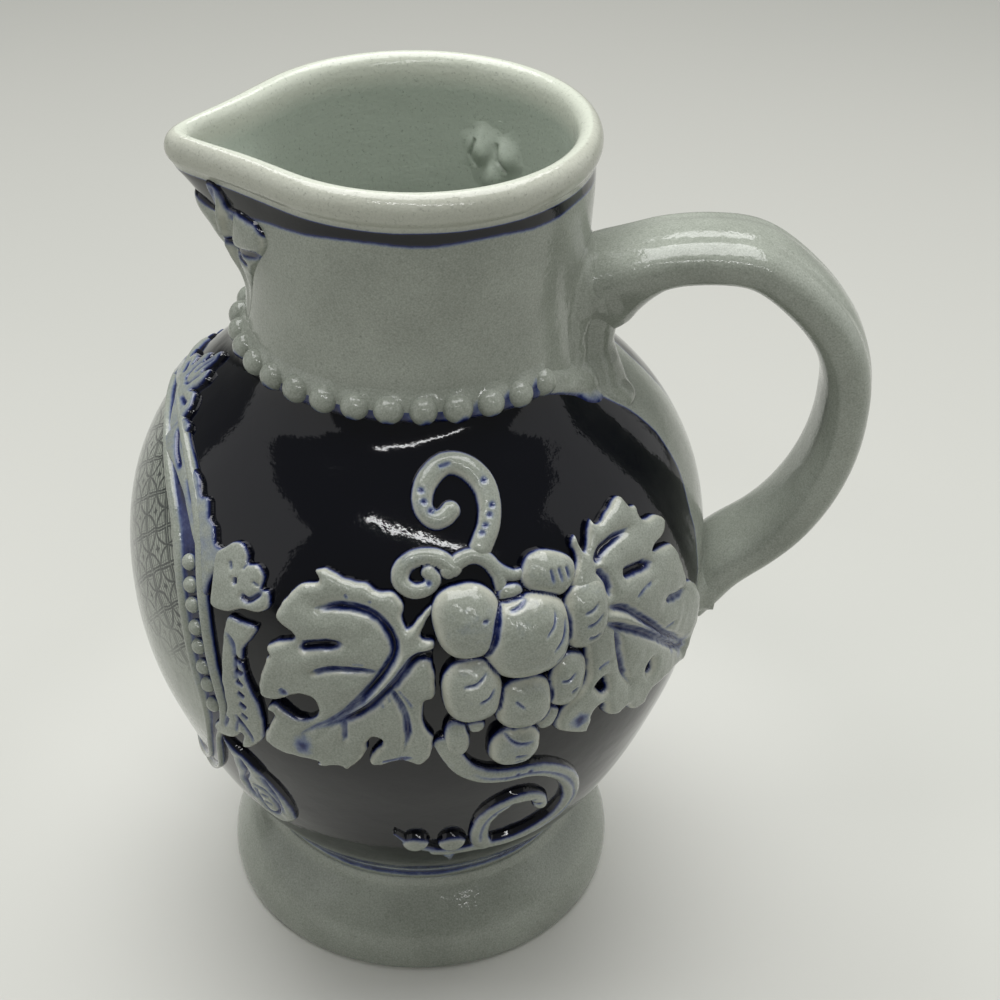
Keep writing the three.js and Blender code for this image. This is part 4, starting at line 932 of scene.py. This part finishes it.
def root_patch(middle_height, half_width, half_height, blend, strokes, paint):
    """Clay smeared round a root of the handle: a hollow fillet that climbs towards the strap's section, with
    rolls pressed down from it. A roll has its half width at the start and at the end, and its heights along
    the way."""
    centre = to_skin([(0, middle_height)], 0)[0]
    size = np.array([half_width + blend, half_height + blend])
    lines = laid(strokes, 0)

    def form(x, y):
        u, v = np.abs(x - centre[0]), np.abs(y - centre[1])
        rho = ((u / half_width) ** STRAP_POWER + (v / half_height) ** STRAP_POWER) ** (1 / STRAP_POWER)
        d = (rho - 1) * (half_width * u + half_height * v) / np.maximum(u + v, 1e-6)
        t = np.clip(1 - d / blend, 0, 1)
        h = np.where(d < blend, blend * (1 - np.sqrt(np.maximum(1 - t**2, 0))), -(d - blend) * 0.25)
        h = np.minimum(h, blend)
        for line, w0, w1, rise in lines:
            e, s = line_distance(x, y, line)
            w = w0 + (w1 - w0) * s
            top = np.interp(s, np.linspace(0, 1, len(rise)), rise)
            h = soft_max(h, dome(e / w, top, w, 0.6), 1.4)
        h = h + 0.14 * ripple(x, y, 31, 3.6) * smoothstep(h, 0, 0.8) * (1 - smoothstep(h, 1.4, 2.6))
        return h, paint(x, y, h)

    reach = reach_of(np.array([centre - size, centre + size]), *[line for line, *_ in lines], margin=4)
    return relief(HANDLE_ANGLE, 0, reach, form, 0.35, pale_sheen_edges=False)


# Rolls at the upper root: towards the rear leaf, along the collar, a tongue under the strap, on the far side
UPPER_ROLLS = [
    ([(-11, 135), (-13.5, 131), (-15.5, 127), (-18.5, 121), (-22, 117.4)], 4.2, 3.0, (2.3, 0.6)),
    ([(-20, 118.6), (-27, 119.6), (-34, 121.2), (-42, 122.8)], 2.5, 1.9, (1.5, 0.4)),
    ([(-0.5, 131), (-1.6, 127), (-4, 122.4), (-7, 117.8), (-9.6, 114.4)], 7.8, 4.2,
     (10.5, 7, 5.1, 4.1, 3.1, 1.2)),
    ([(10, 131), (11, 126), (13, 121.4)], 4.6, 2.6, (1.7, 0.4))]
LOWER_ROLLS = [([(0, 69), (0, 61)], 8, 4, (0.9, 0.2))]


def make_handle():
    """The strap and the clay smeared at its two roots."""
    def bare(x, y, h):
        return np.full(x.shape, -2.0)

    def slip_edge(x, y, h):
        along_collar = np.interp(x, [-25, -12, -8], up_skin([122, 118, 116.5]))
        low = smoothstep(-x, 9, 12) * smoothstep(along_collar - y, -0.6, 0.2)
        return np.minimum(0.3 - 1.1 * h, 0.15) * low - 2 * (1 - low)

    upper = root_patch(132.2, 8.2, 5.2, 4.6, UPPER_ROLLS, slip_edge)
    lower = root_patch(72, 9.6, 4.6, 3.4, LOWER_ROLLS, bare)
    add_mesh("pulled_handle", "handle", joined([strap_body(), upper, lower]))


# Collar of pearls, and the wad inside the neck

def ellipsoid(centre, across, up, out, radii, rounds=28, levels=16):
    """Closed ellipsoid: rings at even angles between two poles, carried by three directions. Its points in
    those directions come last."""
    phi = np.linspace(0, math.pi, levels + 1)[1:-1]
    theta = np.arange(rounds) * 2 * math.pi / rounds
    p, t = np.meshgrid(phi, theta, indexing="ij")
    ball = np.stack([np.sin(p) * np.cos(t), np.sin(p) * np.sin(t), np.cos(p)], -1).reshape(-1, 3)
    local = np.concatenate([ball, [(0, 0, 1), (0, 0, -1)]]) * radii
    points = centre + local[:, :1] * across + local[:, 1:2] * up + local[:, 2:] * out
    i = np.arange(rounds)
    k = (i + 1) % rounds
    last = (levels - 2) * rounds
    fans = [np.stack([np.full(rounds, len(ball)), i, k], -1),
            np.stack([np.full(rounds, len(ball) + 1), last + k, last + i], -1)]
    return points, [grid_quads(levels - 1, rounds, False, True), *fans], local


def frame_on(deg, z):
    """Point on the vessel's outside, and the directions round, up and out at it."""
    here = on_vessel(deg, z)
    out = unit(on_vessel(deg, z, 1.0) - here)
    round_way = unit(on_vessel(deg + 0.5, z) - on_vessel(deg - 0.5, z))
    return here, round_way, np.cross(out, round_way), out


def collar_strip(pitch):
    """Strip under the pearls: a half ellipse below them and a fillet above, both fuller at each pearl in a
    cosine."""
    middle = (COLLAR_FROM + COLLAR_TO) / 2
    level = up_skin(COLLAR_HEIGHT)
    per_degree = DEG * float(outside_radius(COLLAR_HEIGHT))
    half = (COLLAR_TO - COLLAR_FROM) / 2 * per_degree

    def form(x, y):
        wave = 0.5 * np.cos(2 * math.pi * (x / per_degree + middle - COLLAR_FROM) / pitch)
        full = 0.75 + 0.75 * (0.5 - wave)
        above = np.maximum(y - level, 0)
        fillet = full * (1 - smoothstep(above, 0.4, 3.5)) - np.maximum(above - 3.3, 0) * 0.25
        h = np.where(y > level, fillet, dome((level - y) / 2.1, full, 2.1, 0.9))
        h = np.minimum(h, half - np.abs(x) - 0.6)
        # Near the handle the cobalt runs up between the pearls
        between = 1.2 * (0.5 + wave) + 1.0 - 0.35 * np.abs(y - level)
        last = smoothstep(x, half - 24, half - 12) * between - 2
        return h, np.where(y < level, 0.55 - h * 0.6, np.minimum(last, 0.3))

    return relief(0, middle, [(-half, half), (level - 3.4, level + 5.2)], form, 0.35, pale_sheen_edges=False)


def make_collar():
    """Pearls pressed side by side on a thin strip, each a slightly squeezed ball; they sink into slip at the
    handle."""
    rng = np.random.default_rng(3)
    pitch = 360 / BEAD_COUNT
    bodies = []
    for i in range(round((COLLAR_TO - COLLAR_FROM) / pitch)):
        deg = COLLAR_FROM + pitch * (i + 0.5)
        here, way_round, up, out = frame_on(deg, COLLAR_HEIGHT)
        sunk = 0.5 * smoothstep(deg, 292, 312) + 0.4 * smoothstep(-deg, -44, -24)
        size = BEAD_RADIUS * np.array([1.04, 1.02, 0.98]) * (1 + rng.uniform(-0.05, 0.05, 3))
        points, faces, local = ellipsoid(here + out * (0.45 - 1.2 * sunk), way_round, up, out, size)
        # Cobalt lies round each pearl's foot and in a dab on its lower half
        low = np.clip((-local[:, 1] / BEAD_RADIUS - 0.35) * 1.2, -1, 1)
        foot = np.clip(-0.65 - local[:, 2], -1.5, 0.6)
        dab = rng.uniform(0.3, 1.0) * np.exp(-((local[:, 0] - rng.uniform(-1, 1)) / 1.3) ** 2)
        bodies.append((points, faces, {"cobalt": np.maximum(foot, low + dab - 0.95)}))
    add_mesh("pearl_collar", "bead_collar", joined([*bodies, collar_strip(pitch)]))


WAD_ANGLE, WAD_HEIGHT = 55.0, 142.5
# Lobes of the wad: place across and up, half width, half height
WAD_LOBES = [(-2.3, 1.6, 3.5, 4.4), (2.5, 1.0, 3.3, 4.0), (0.2, -2.8, 3.1, 4.2)]
WAD_FOLDS = [([(-3.6, 3.6), (-4.6, 0.4), (-3.4, -1.8)], 0.35), ([(3.4, -1.4), (1.2, 0.4), (0.6, 3.4)], 0.4)]


def make_wad():
    """Wad of clay pressed into the neck: three overlapping bell curves on the inner wall, with two folds
    pressed between them, and a back that lies in the wall."""
    side = np.arange(-7.5, 7.5, 0.22)
    x, y = np.meshgrid(side, side, indexing="ij")
    h = np.full(x.shape, -9.0)
    for px, py, w, tall in WAD_LOBES:
        h = soft_max(h, 2.0 * np.exp(-1.5 * (((x - px) / w) ** 2 + ((y - py) / tall) ** 2)) - 0.32, 0.6)
    folds = np.maximum.reduce([groove(x, y, np.array(line), width) for line, width in WAD_FOLDS])
    h = h + 0.12 * ripple(x, y, 8, 3.2) - 0.8 * folds * smoothstep(h, 0.1, 0.5)
    inner = outside_radius(WAD_HEIGHT + y) - WALL + 0.5
    angle = WAD_ANGLE * DEG - x / inner
    layers = []
    for lift in (np.maximum(h, -1.5), np.full(h.shape, -1.9)):
        r = inner - lift
        layers.append(np.stack([r * np.cos(angle), r * np.sin(angle), WAD_HEIGHT + y], -1).reshape(-1, 3))
    points = np.concatenate(layers)
    n = len(side)
    top = grid_quads(n, n, False, False)
    i = np.arange(n - 1)
    loop = np.concatenate([i * n, (n - 1) * n + i, (n - 1 - i) * n + n - 1, n - 1 - i])
    after = np.roll(loop, -1)
    walls = np.stack([after, loop, loop + n * n, after + n * n], -1)
    values = {"cobalt": np.full(len(points), -2.0), "inside": np.ones(len(points))}
    add_mesh("neck_wad_clay", "neck_wad", (points, [top, top[:, ::-1] + n * n, walls], values))


# Medallion

# Section of the frame: distance outwards from its line, height over the skin
BAND = [(-0.25, -0.9), (-0.1, 0.15), (0.2, 0.85), (0.75, 1.2), (1.35, 1.15), (1.85, 0.75), (2.15, 0.4),
        (2.7, 0.3), (4.7, 0.3), (5.15, 0.4), (5.4, 0.85), (5.8, 1.3), (6.4, 1.35), (6.95, 1.0), (7.3, 0.25),
        (7.45, -0.9)]

# Pearls in the channel: distance out from the line, pitch and radii
CHANNEL_MIDDLE, CHANNEL_PITCH, CHANNEL_PEARL = 3.72, 3.55, np.array([1.5, 1.5, 1.45])
PEARLS_FROM, PEARLS_TO = 69.0, 95.5


def make_medallion_frame():
    """Two rounded fillets with a channel between them, their section carried round the medallion's line, and
    pearls in the channel. The section narrows at the top and at the foot."""
    # The line runs clockwise, so that outwards is its left
    ring = smooth_line(to_skin(MEDALLION_RING, 0), True, 12)
    ring = np.concatenate([ring, ring[:1]])
    line = evenly(ring, 560, endpoint=False)
    step = unit(np.roll(line, -1, 0) - np.roll(line, 1, 0))
    outward = np.stack([-step[:, 1], step[:, 0]], -1)
    turn, z = from_skin(line[:, 0], line[:, 1], 0)
    width = (1 - 0.35 * np.exp(-(turn**2) / 260)) * (0.45 + 0.55 * smoothstep(z, 62, 72))
    section = evenly(smooth_line(BAND, per=12), 44)
    s = section[:, 0][None] * width[:, None]
    h = np.broadcast_to(section[:, 1], s.shape)
    flat = line[:, None] + outward[:, None] * s[..., None]
    deg, level = from_skin(flat[..., 0], flat[..., 1], MEDALLION_ANGLE)
    points = on_vessel(deg.ravel(), level.ravel(), h.ravel())
    dashes = 0.75 - 0.6 * smoothstep(z, 94, 97) * (1 - np.exp(-((z - 101) / 2.4) ** 2))
    channel = np.exp(-((section[:, 0][None] - 3.7) / 1.45) ** 4) * dashes[:, None]
    quads = grid_quads(len(line), len(section), True, True)
    bodies = [(points, [quads], {"cobalt": np.maximum(0.45 - h, channel - 0.4).ravel()})]
    length = lengths_along(ring)[-1]
    for k in range(int(length / CHANNEL_PITCH)):
        i = int(round(k * CHANNEL_PITCH / length * len(line))) % len(line)
        if PEARLS_FROM <= z[i] <= PEARLS_TO:
            bodies.append(channel_pearl(line[i] + outward[i] * CHANNEL_MIDDLE * width[i], width[i]))
    add_mesh("medallion_band", "medallion_frame", joined(bodies))


def channel_pearl(place, width):
    """Pearl at a place over the skin, smaller where the channel is narrow, with cobalt round its foot."""
    deg, z = from_skin(place[0], place[1], MEDALLION_ANGLE)
    here, way_round, up, out = frame_on(deg, z)
    size = CHANNEL_PEARL * min(1, width + 0.1)
    points, faces, local = ellipsoid(here + out * 0.35, way_round, up, out, size, 20, 12)
    return points, faces, {"cobalt": np.clip(0.1 - local[:, 2], -1.5, 0.5)}


# Sprigs round the medallion: degrees from its middle, height
LEAFY_EDGE = [
    (13, 105.4), (13.7, 109.6), (18.2, 110.2), (20.5, 108.4), (24, 108.2), (26.4, 107.2), (30, 107.3),
    (33.4, 106.9), (36.4, 105.4), (38.6, 105.6), (41, 103.6), (43.2, 102.8), (45, 100.8), (47.6, 100.4),
    (47.6, 97.4), (46, 96), (45, 91), (42, 96), (37, 100), (30.4, 103.4), (22, 105)]
LEAFY_CUTS = [([(15, 108.6), (21, 106.9), (26.4, 105.8)], 0.5, 0.6), ([(30, 105.7), (35, 103.6)], 0.4, 0.4)]
BUD = [
    (45.6, 99.4), (47.4, 101.1), (49.3, 102.4), (51.6, 102.6), (53.2, 101.5), (53.7, 100.3), (56, 100.6),
    (57.7, 99.4), (57.6, 97.4), (59.4, 97.4), (59.7, 95), (57.6, 93.4), (54, 92.9), (50.8, 91.4),
    (47, 91.4), (46.4, 95)]
BUD_CUTS = [
    ([(51.6, 97.6), (51.9, 96.4)], 0.45, 0.9),
    ([(53.4, 95.4), (55.4, 95), (57.2, 96.2), (58, 97)], 0.55, 1.0), ([(53.6, 100), (53, 99)], 0.3, 0.5),
    ([(57, 97.6), (55.6, 98)], 0.3, 0.5), ([(49.8, 99.6), (50.6, 98.2)], 0.35, 0.5)]
SCROLL = [
    (51, 90.8), (54, 91.3), (57.6, 91.2), (56.6, 88.6), (55.1, 86.4), (55.2, 83), (56.4, 79.6),
    (58.2, 76.6), (58.8, 73), (58.4, 69), (56.4, 66), (54, 63.9), (52.4, 64), (53.4, 67.4), (51, 65),
    (47.4, 64.2), (46, 66), (48.6, 69), (50.4, 72.4), (50, 78), (50.2, 84)]
SCROLL_CUTS = [
    ([(51.2, 88.4), (53, 86.6), (53.6, 83.4), (53.8, 79)], 0.5, 0.5),
    ([(52.6, 72), (55.4, 68.6), (55.8, 66.6)], 0.45, 0.7), ([(50.8, 70.6), (49.4, 67.6)], 0.45, 0.6),
    ([(53.4, 71.4), (52.2, 67.8)], 0.35, 0.5)] + [
    ([(53.3 + 0.15 * k, 84.4 - 2.3 * k), (54.9 + 0.15 * k, 83.6 - 2.3 * k)], 0.42, 0.8) for k in range(6)]
DROP = [
    (47, 63.4), (49.4, 61.6), (52, 60.2), (55, 57), (57.4, 53.2), (58.9, 48.5), (58.6, 43.5), (56.6, 41.2),
    (53.6, 40.2), (50, 41.6), (47.6, 44.4), (46, 49), (47.4, 54.5), (48, 58.6)]
DROP_CUTS = [
    ([(50.4, 60), (51, 56), (49, 51.6), (49.6, 46.4)], 0.6, 0.7),
    ([(54.4, 56.4), (56.4, 51), (56.2, 45)], 0.5, 0.6),
    ([(51, 52.2), (54, 51.6), (55.2, 47.6), (54.4, 44), (51.6, 43.8), (50.8, 47.6), (51.2, 51.2)],
     0.4, 0.7),
    ([(52, 49.4), (54, 49.2)], 0.35, 0.5), ([(52, 46.8), (54, 46.6)], 0.35, 0.5)]
CREST = [
    (-13.6, 110.6), (-9.4, 112.4), (-6.4, 111.8), (-7, 113.6), (-4.6, 115), (-2.6, 113.8), (-1.6, 115.8),
    (0, 117), (1.6, 115.8), (2.6, 113.8), (4.6, 115), (7, 113.6), (6.4, 111.8), (9.4, 112.4), (13.6, 110.6),
    (13, 107), (0, 108.8), (-13, 107)]
CREST_CUTS = [
    ([(0, 115.6), (0, 112.4)], 0.4, 0.7), ([(-3.4, 113.4), (-2.2, 111.4), (0, 110.8)], 0.4, 0.6),
    ([(3.4, 113.4), (2.2, 111.4), (0, 110.8)], 0.4, 0.6), ([(-10.6, 110.6), (-5.4, 110.2)], 0.4, 0.6),
    ([(10.6, 110.6), (5.4, 110.2)], 0.4, 0.6)]


def ornament(outline, cuts, lift, seed, angle=MEDALLION_ANGLE, step=0.26, edge=1.0, swell=None,
             bare_below=None):
    """Flat sprig with a quarter-round edge and pressed lines. Swell, where there is one, changes its heights,
    and no cobalt lies against it below a given height."""
    middle = middle_angle(outline)
    ring = smooth_line(to_skin(outline, middle), True, 5)

    def form(x, y):
        s = inside_distance(x, y, ring)
        h = rounded_edge(s, edge) * np.where(s > 0, lift + 0.12 * ripple(x, y, seed, 4), 1)
        ink = np.zeros(x.shape)
        for line, w, depth in laid(cuts, middle):
            g = groove(x, y, line, w, 0.15, 0.2)
            h = h - np.where(s > 0, np.minimum(depth * g, np.maximum(h - 0.2, 0)), 0)
            ink = np.maximum(ink, g * min(1, depth + 0.3))
        if swell:
            h = swell(x, y, h, s)
        if bare_below is None:
            return h, np.maximum(edge_paint(h, step), ink * 0.65 - 0.5)
        above = smoothstep(y, *up_skin([bare_below, bare_below + 2]))
        against = (edge_paint(h, step) - 0.3) * above - 2 * (1 - above)
        return h, np.maximum(against, ink * 1.05 - 0.5)

    return relief(angle, middle, reach_of(ring), form, step)


def make_medallion_sprigs():
    """The crest with its leafy border at both sides, and the pairs of buds, scrolls and drops round the
    frame."""
    border = ornament(LEAFY_EDGE, LEAFY_CUTS, 1.15, 22)
    crest = joined([ornament(CREST, CREST_CUTS, 1.25, 21), border, mirrored(border)])
    add_mesh("medallion_crest_relief", "medallion_crest", crest)
    add_pair("medallion_bud", ornament(BUD, BUD_CUTS, 1.6, 23))
    add_pair("medallion_scroll", ornament(SCROLL, SCROLL_CUTS, 1.45, 24))
    add_pair("medallion_drop", ornament(DROP, DROP_CUTS, 1.3, 25))


SPOUT_LEAF_ANGLE = SPOUT_ANGLE + 7
# Degrees from the leaf's own angle, height
SPOUT_LEAF = [
    (4.4, 153.9), (8, 153.7), (9.2, 150.6), (13, 150.4), (17, 150), (21, 149.9), (24, 148.6), (24.6, 146.4),
    (22.6, 144.6), (19, 142.4), (14, 139.2), (9, 135.2), (5, 131), (1, 127.4), (-3, 129), (-6, 133.5),
    (-9, 138), (-13, 140.6), (-16.5, 142.6), (-18, 145), (-16.6, 147.6), (-13, 149), (-9, 149.6),
    (-4, 149.3), (0, 148.4), (3, 149.2)]
SPOUT_LEAF_CUTS = [
    ([(2.5, 143.8), (9, 142.9), (15, 143.3), (21.6, 144.3)], 0.85, 1.1),
    ([(9, 141.6), (14, 140.9)], 0.6, 0.6), ([(-5, 143.4), (-11, 142.8), (-15, 143.6)], 0.55, 0.7),
    ([(10.5, 132.6), (14, 131.6), (17.5, 131.4)], 0.45, 0.8)]


def make_spout_leaf():
    """Leaf under the spout: two puffed lobes either side of a thin rib, running out into the neck below."""
    rib = smooth_line(to_skin([(6.5, 153.6), (4, 150), (0.8, 145), (-1.5, 138), (-2.5, 128)], 0))

    def swell(x, y, h, s):
        d, _ = line_distance(x, y, rib)
        thick = smoothstep(y, *up_skin([132, 145]))
        puff = 0.8 * thick * (1 - np.exp(-np.maximum(s, 0) / 2.2)) * (1 - np.exp(-(d / 2.4) ** 2))
        ridge = np.exp(-(d / 0.75) ** 2) - 0.75 * np.exp(-((d - 1.8) / 0.9) ** 2)
        ridge = ridge * (0.15 + 0.85 * thick) * smoothstep(s, 0, 1.5)
        return np.where(s > 0, np.maximum(h * (0.12 + 0.88 * thick) + puff + ridge, 0.06), h)

    body = ornament(SPOUT_LEAF, SPOUT_LEAF_CUTS, 1.0, 2, SPOUT_LEAF_ANGLE, 0.24, 2.0, swell, 146.5)
    add_mesh("spout_leaf_relief", "spout_leaf", body)


make_vine()
make_vessel()
make_foot()
make_handle()
make_collar()
make_wad()
make_medallion_frame()
make_spout_leaf()
make_medallion_sprigs()


# Floor, light and camera

def matt_white_paper():
    """Sheet of matt white paper, barely clouded, with painted shade that greys it towards the back, where less
    of the tent's light falls, and painted light that whitens it round the foot, where the real paper's shadow
    is faint."""
    material, tree = blank("matt_white_paper")
    spot = node(tree, "ShaderNodeTexCoord").outputs["Object"]
    cloud = node(tree, "ShaderNodeTexNoise", {"Vector": spot, "Scale": 3.0, "Detail": 1.0}).outputs["Fac"]
    tone = node(tree, "ShaderNodeValToRGB", {"Fac": cloud}, [
        (0.3, "#babbb5"), (0.7, "#bebeb8")]).outputs["Color"]
    # Painted shade: the paper greys towards the back
    back_way = node(tree, "ShaderNodeSeparateXYZ", {"Vector": spot}).outputs["Y"]
    far = node(tree, "ShaderNodeMapRange", {
        "Value": back_way, "From Min": -0.02, "From Max": 0.75, "To Max": 0.8}).outputs["Result"]
    tone = node(tree, "ShaderNodeMix", {0: far, 6: tone, 7: linear("#8a8a85")}, data_type="RGBA").outputs[2]
    # Painted light: the paper whitens round the foot, which lifts the shadow there
    distance = node(tree, "ShaderNodeVectorMath", {0: spot, 1: AXIS.tolist()}, operation="DISTANCE")
    under = node(tree, "ShaderNodeMapRange", {
        "Value": distance.outputs["Value"], "From Min": 0.03, "From Max": 0.11, "To Min": 1.0, "To Max": 0.0},
        interpolation_type="SMOOTHSTEP").outputs["Result"]
    tone = node(tree, "ShaderNodeMix", {0: under, 6: tone, 7: linear("#d8d8d2")}, data_type="RGBA").outputs[2]
    shader = node(tree, "ShaderNodeBsdfPrincipled", {"Base Color": tone, "Roughness": 0.6})
    node(tree, "ShaderNodeOutputMaterial", {"Surface": shader.outputs["BSDF"]})
    return material


def make_floor(half=3.0):
    """Level square of paper that the jug stands on."""
    mesh = bpy.data.meshes.new("paper_floor")
    corners = [(-half, -half, 0), (half, -half, 0), (half, half, 0), (-half, half, 0)]
    mesh.from_pydata(corners, [], [(0, 1, 2, 3)])
    mesh.materials.append(matt_white_paper())
    floor = bpy.data.objects.new("paper_floor", mesh)
    bpy.context.scene.collection.objects.link(floor)


def stand(o, place, right, back):
    """Puts a lamp or the camera at a place, by its direction to the right and the one away from what it
    faces."""
    bpy.context.scene.collection.objects.link(o)
    rows = np.stack([right, np.cross(back, right), back, place], 1)
    o.matrix_world = Matrix([*rows.tolist(), (0, 0, 0, 1)])


def rolled(right, back, angle):
    """Direction to the right turned round the view by an angle."""
    return math.cos(angle) * right + math.sin(angle) * np.cross(back, right)


def lamp(name, place, aim, size, watts, turn=0.0):
    """Area lamp at a place, facing another and turned in its own plane by some degrees; lengths in metres."""
    data = bpy.data.lights.new(name, "AREA")
    data.shape = "RECTANGLE"
    data.size, data.size_y = size
    data.energy = watts
    o = bpy.data.objects.new(name, data)
    o.visible_camera = False
    back = unit(np.subtract(place, aim).astype(float))
    right = unit(np.cross([0, 0, 1.0], back) if abs(back[2]) < 0.99 else np.array([1.0, 0, 0]))
    stand(o, place + AXIS, rolled(right, back, turn * DEG), back)


def pale_room():
    """Dim even light from all sides."""
    world = bpy.data.worlds.new("pale_room")
    world.use_nodes = True
    light = world.node_tree.nodes["Background"].inputs
    light["Color"].default_value = linear("#eceee9")
    light["Strength"].default_value = 0.18
    bpy.context.scene.world = world


def set_camera():
    """Camera fitted to the photograph: its turn about the vertical, its pitch down and its roll, and its place
    in millimetres from the point under the jug's axis."""
    turn, pitch, roll = -5.083 * DEG, 34.84 * DEG, 1.152 * DEG
    eye = np.array([-9.78, -280.01, 279.79])
    back = np.array([math.sin(turn) * math.cos(pitch), -math.cos(turn) * math.cos(pitch), math.sin(pitch)])
    right = np.array([math.cos(turn), math.sin(turn), 0])
    lens = bpy.data.cameras.new("camera")
    lens.lens, lens.sensor_width, lens.clip_start = 66.6, 36, 0.01
    camera = bpy.data.objects.new("camera", lens)
    stand(camera, eye * MM + AXIS, rolled(right, back, roll), back)
    bpy.context.scene.camera = camera


make_floor()
# A photographer's tent: a soft roof, a narrow bar of light above and behind the camera, and dim side walls
lamp("tent_roof", (0.0, 0.24, 0.9), (0, 0.24, 0), (1.0, 0.9), 13.6)
lamp("light_bar", (0.033, -0.51, 0.553), (0, -0.05, 0.11), (0.62, 0.02), 0.75, -27.6)
lamp("left_wall", (-0.8, -0.1, 0.35), (0, 0, 0.05), (0.9, 0.7), 1.0)
lamp("right_wall", (0.8, 0.05, 0.35), (0, 0, 0.05), (1.0, 0.8), 1.1)
pale_room()
set_camera()
bpy.context.scene.view_settings.view_transform = "Standard"
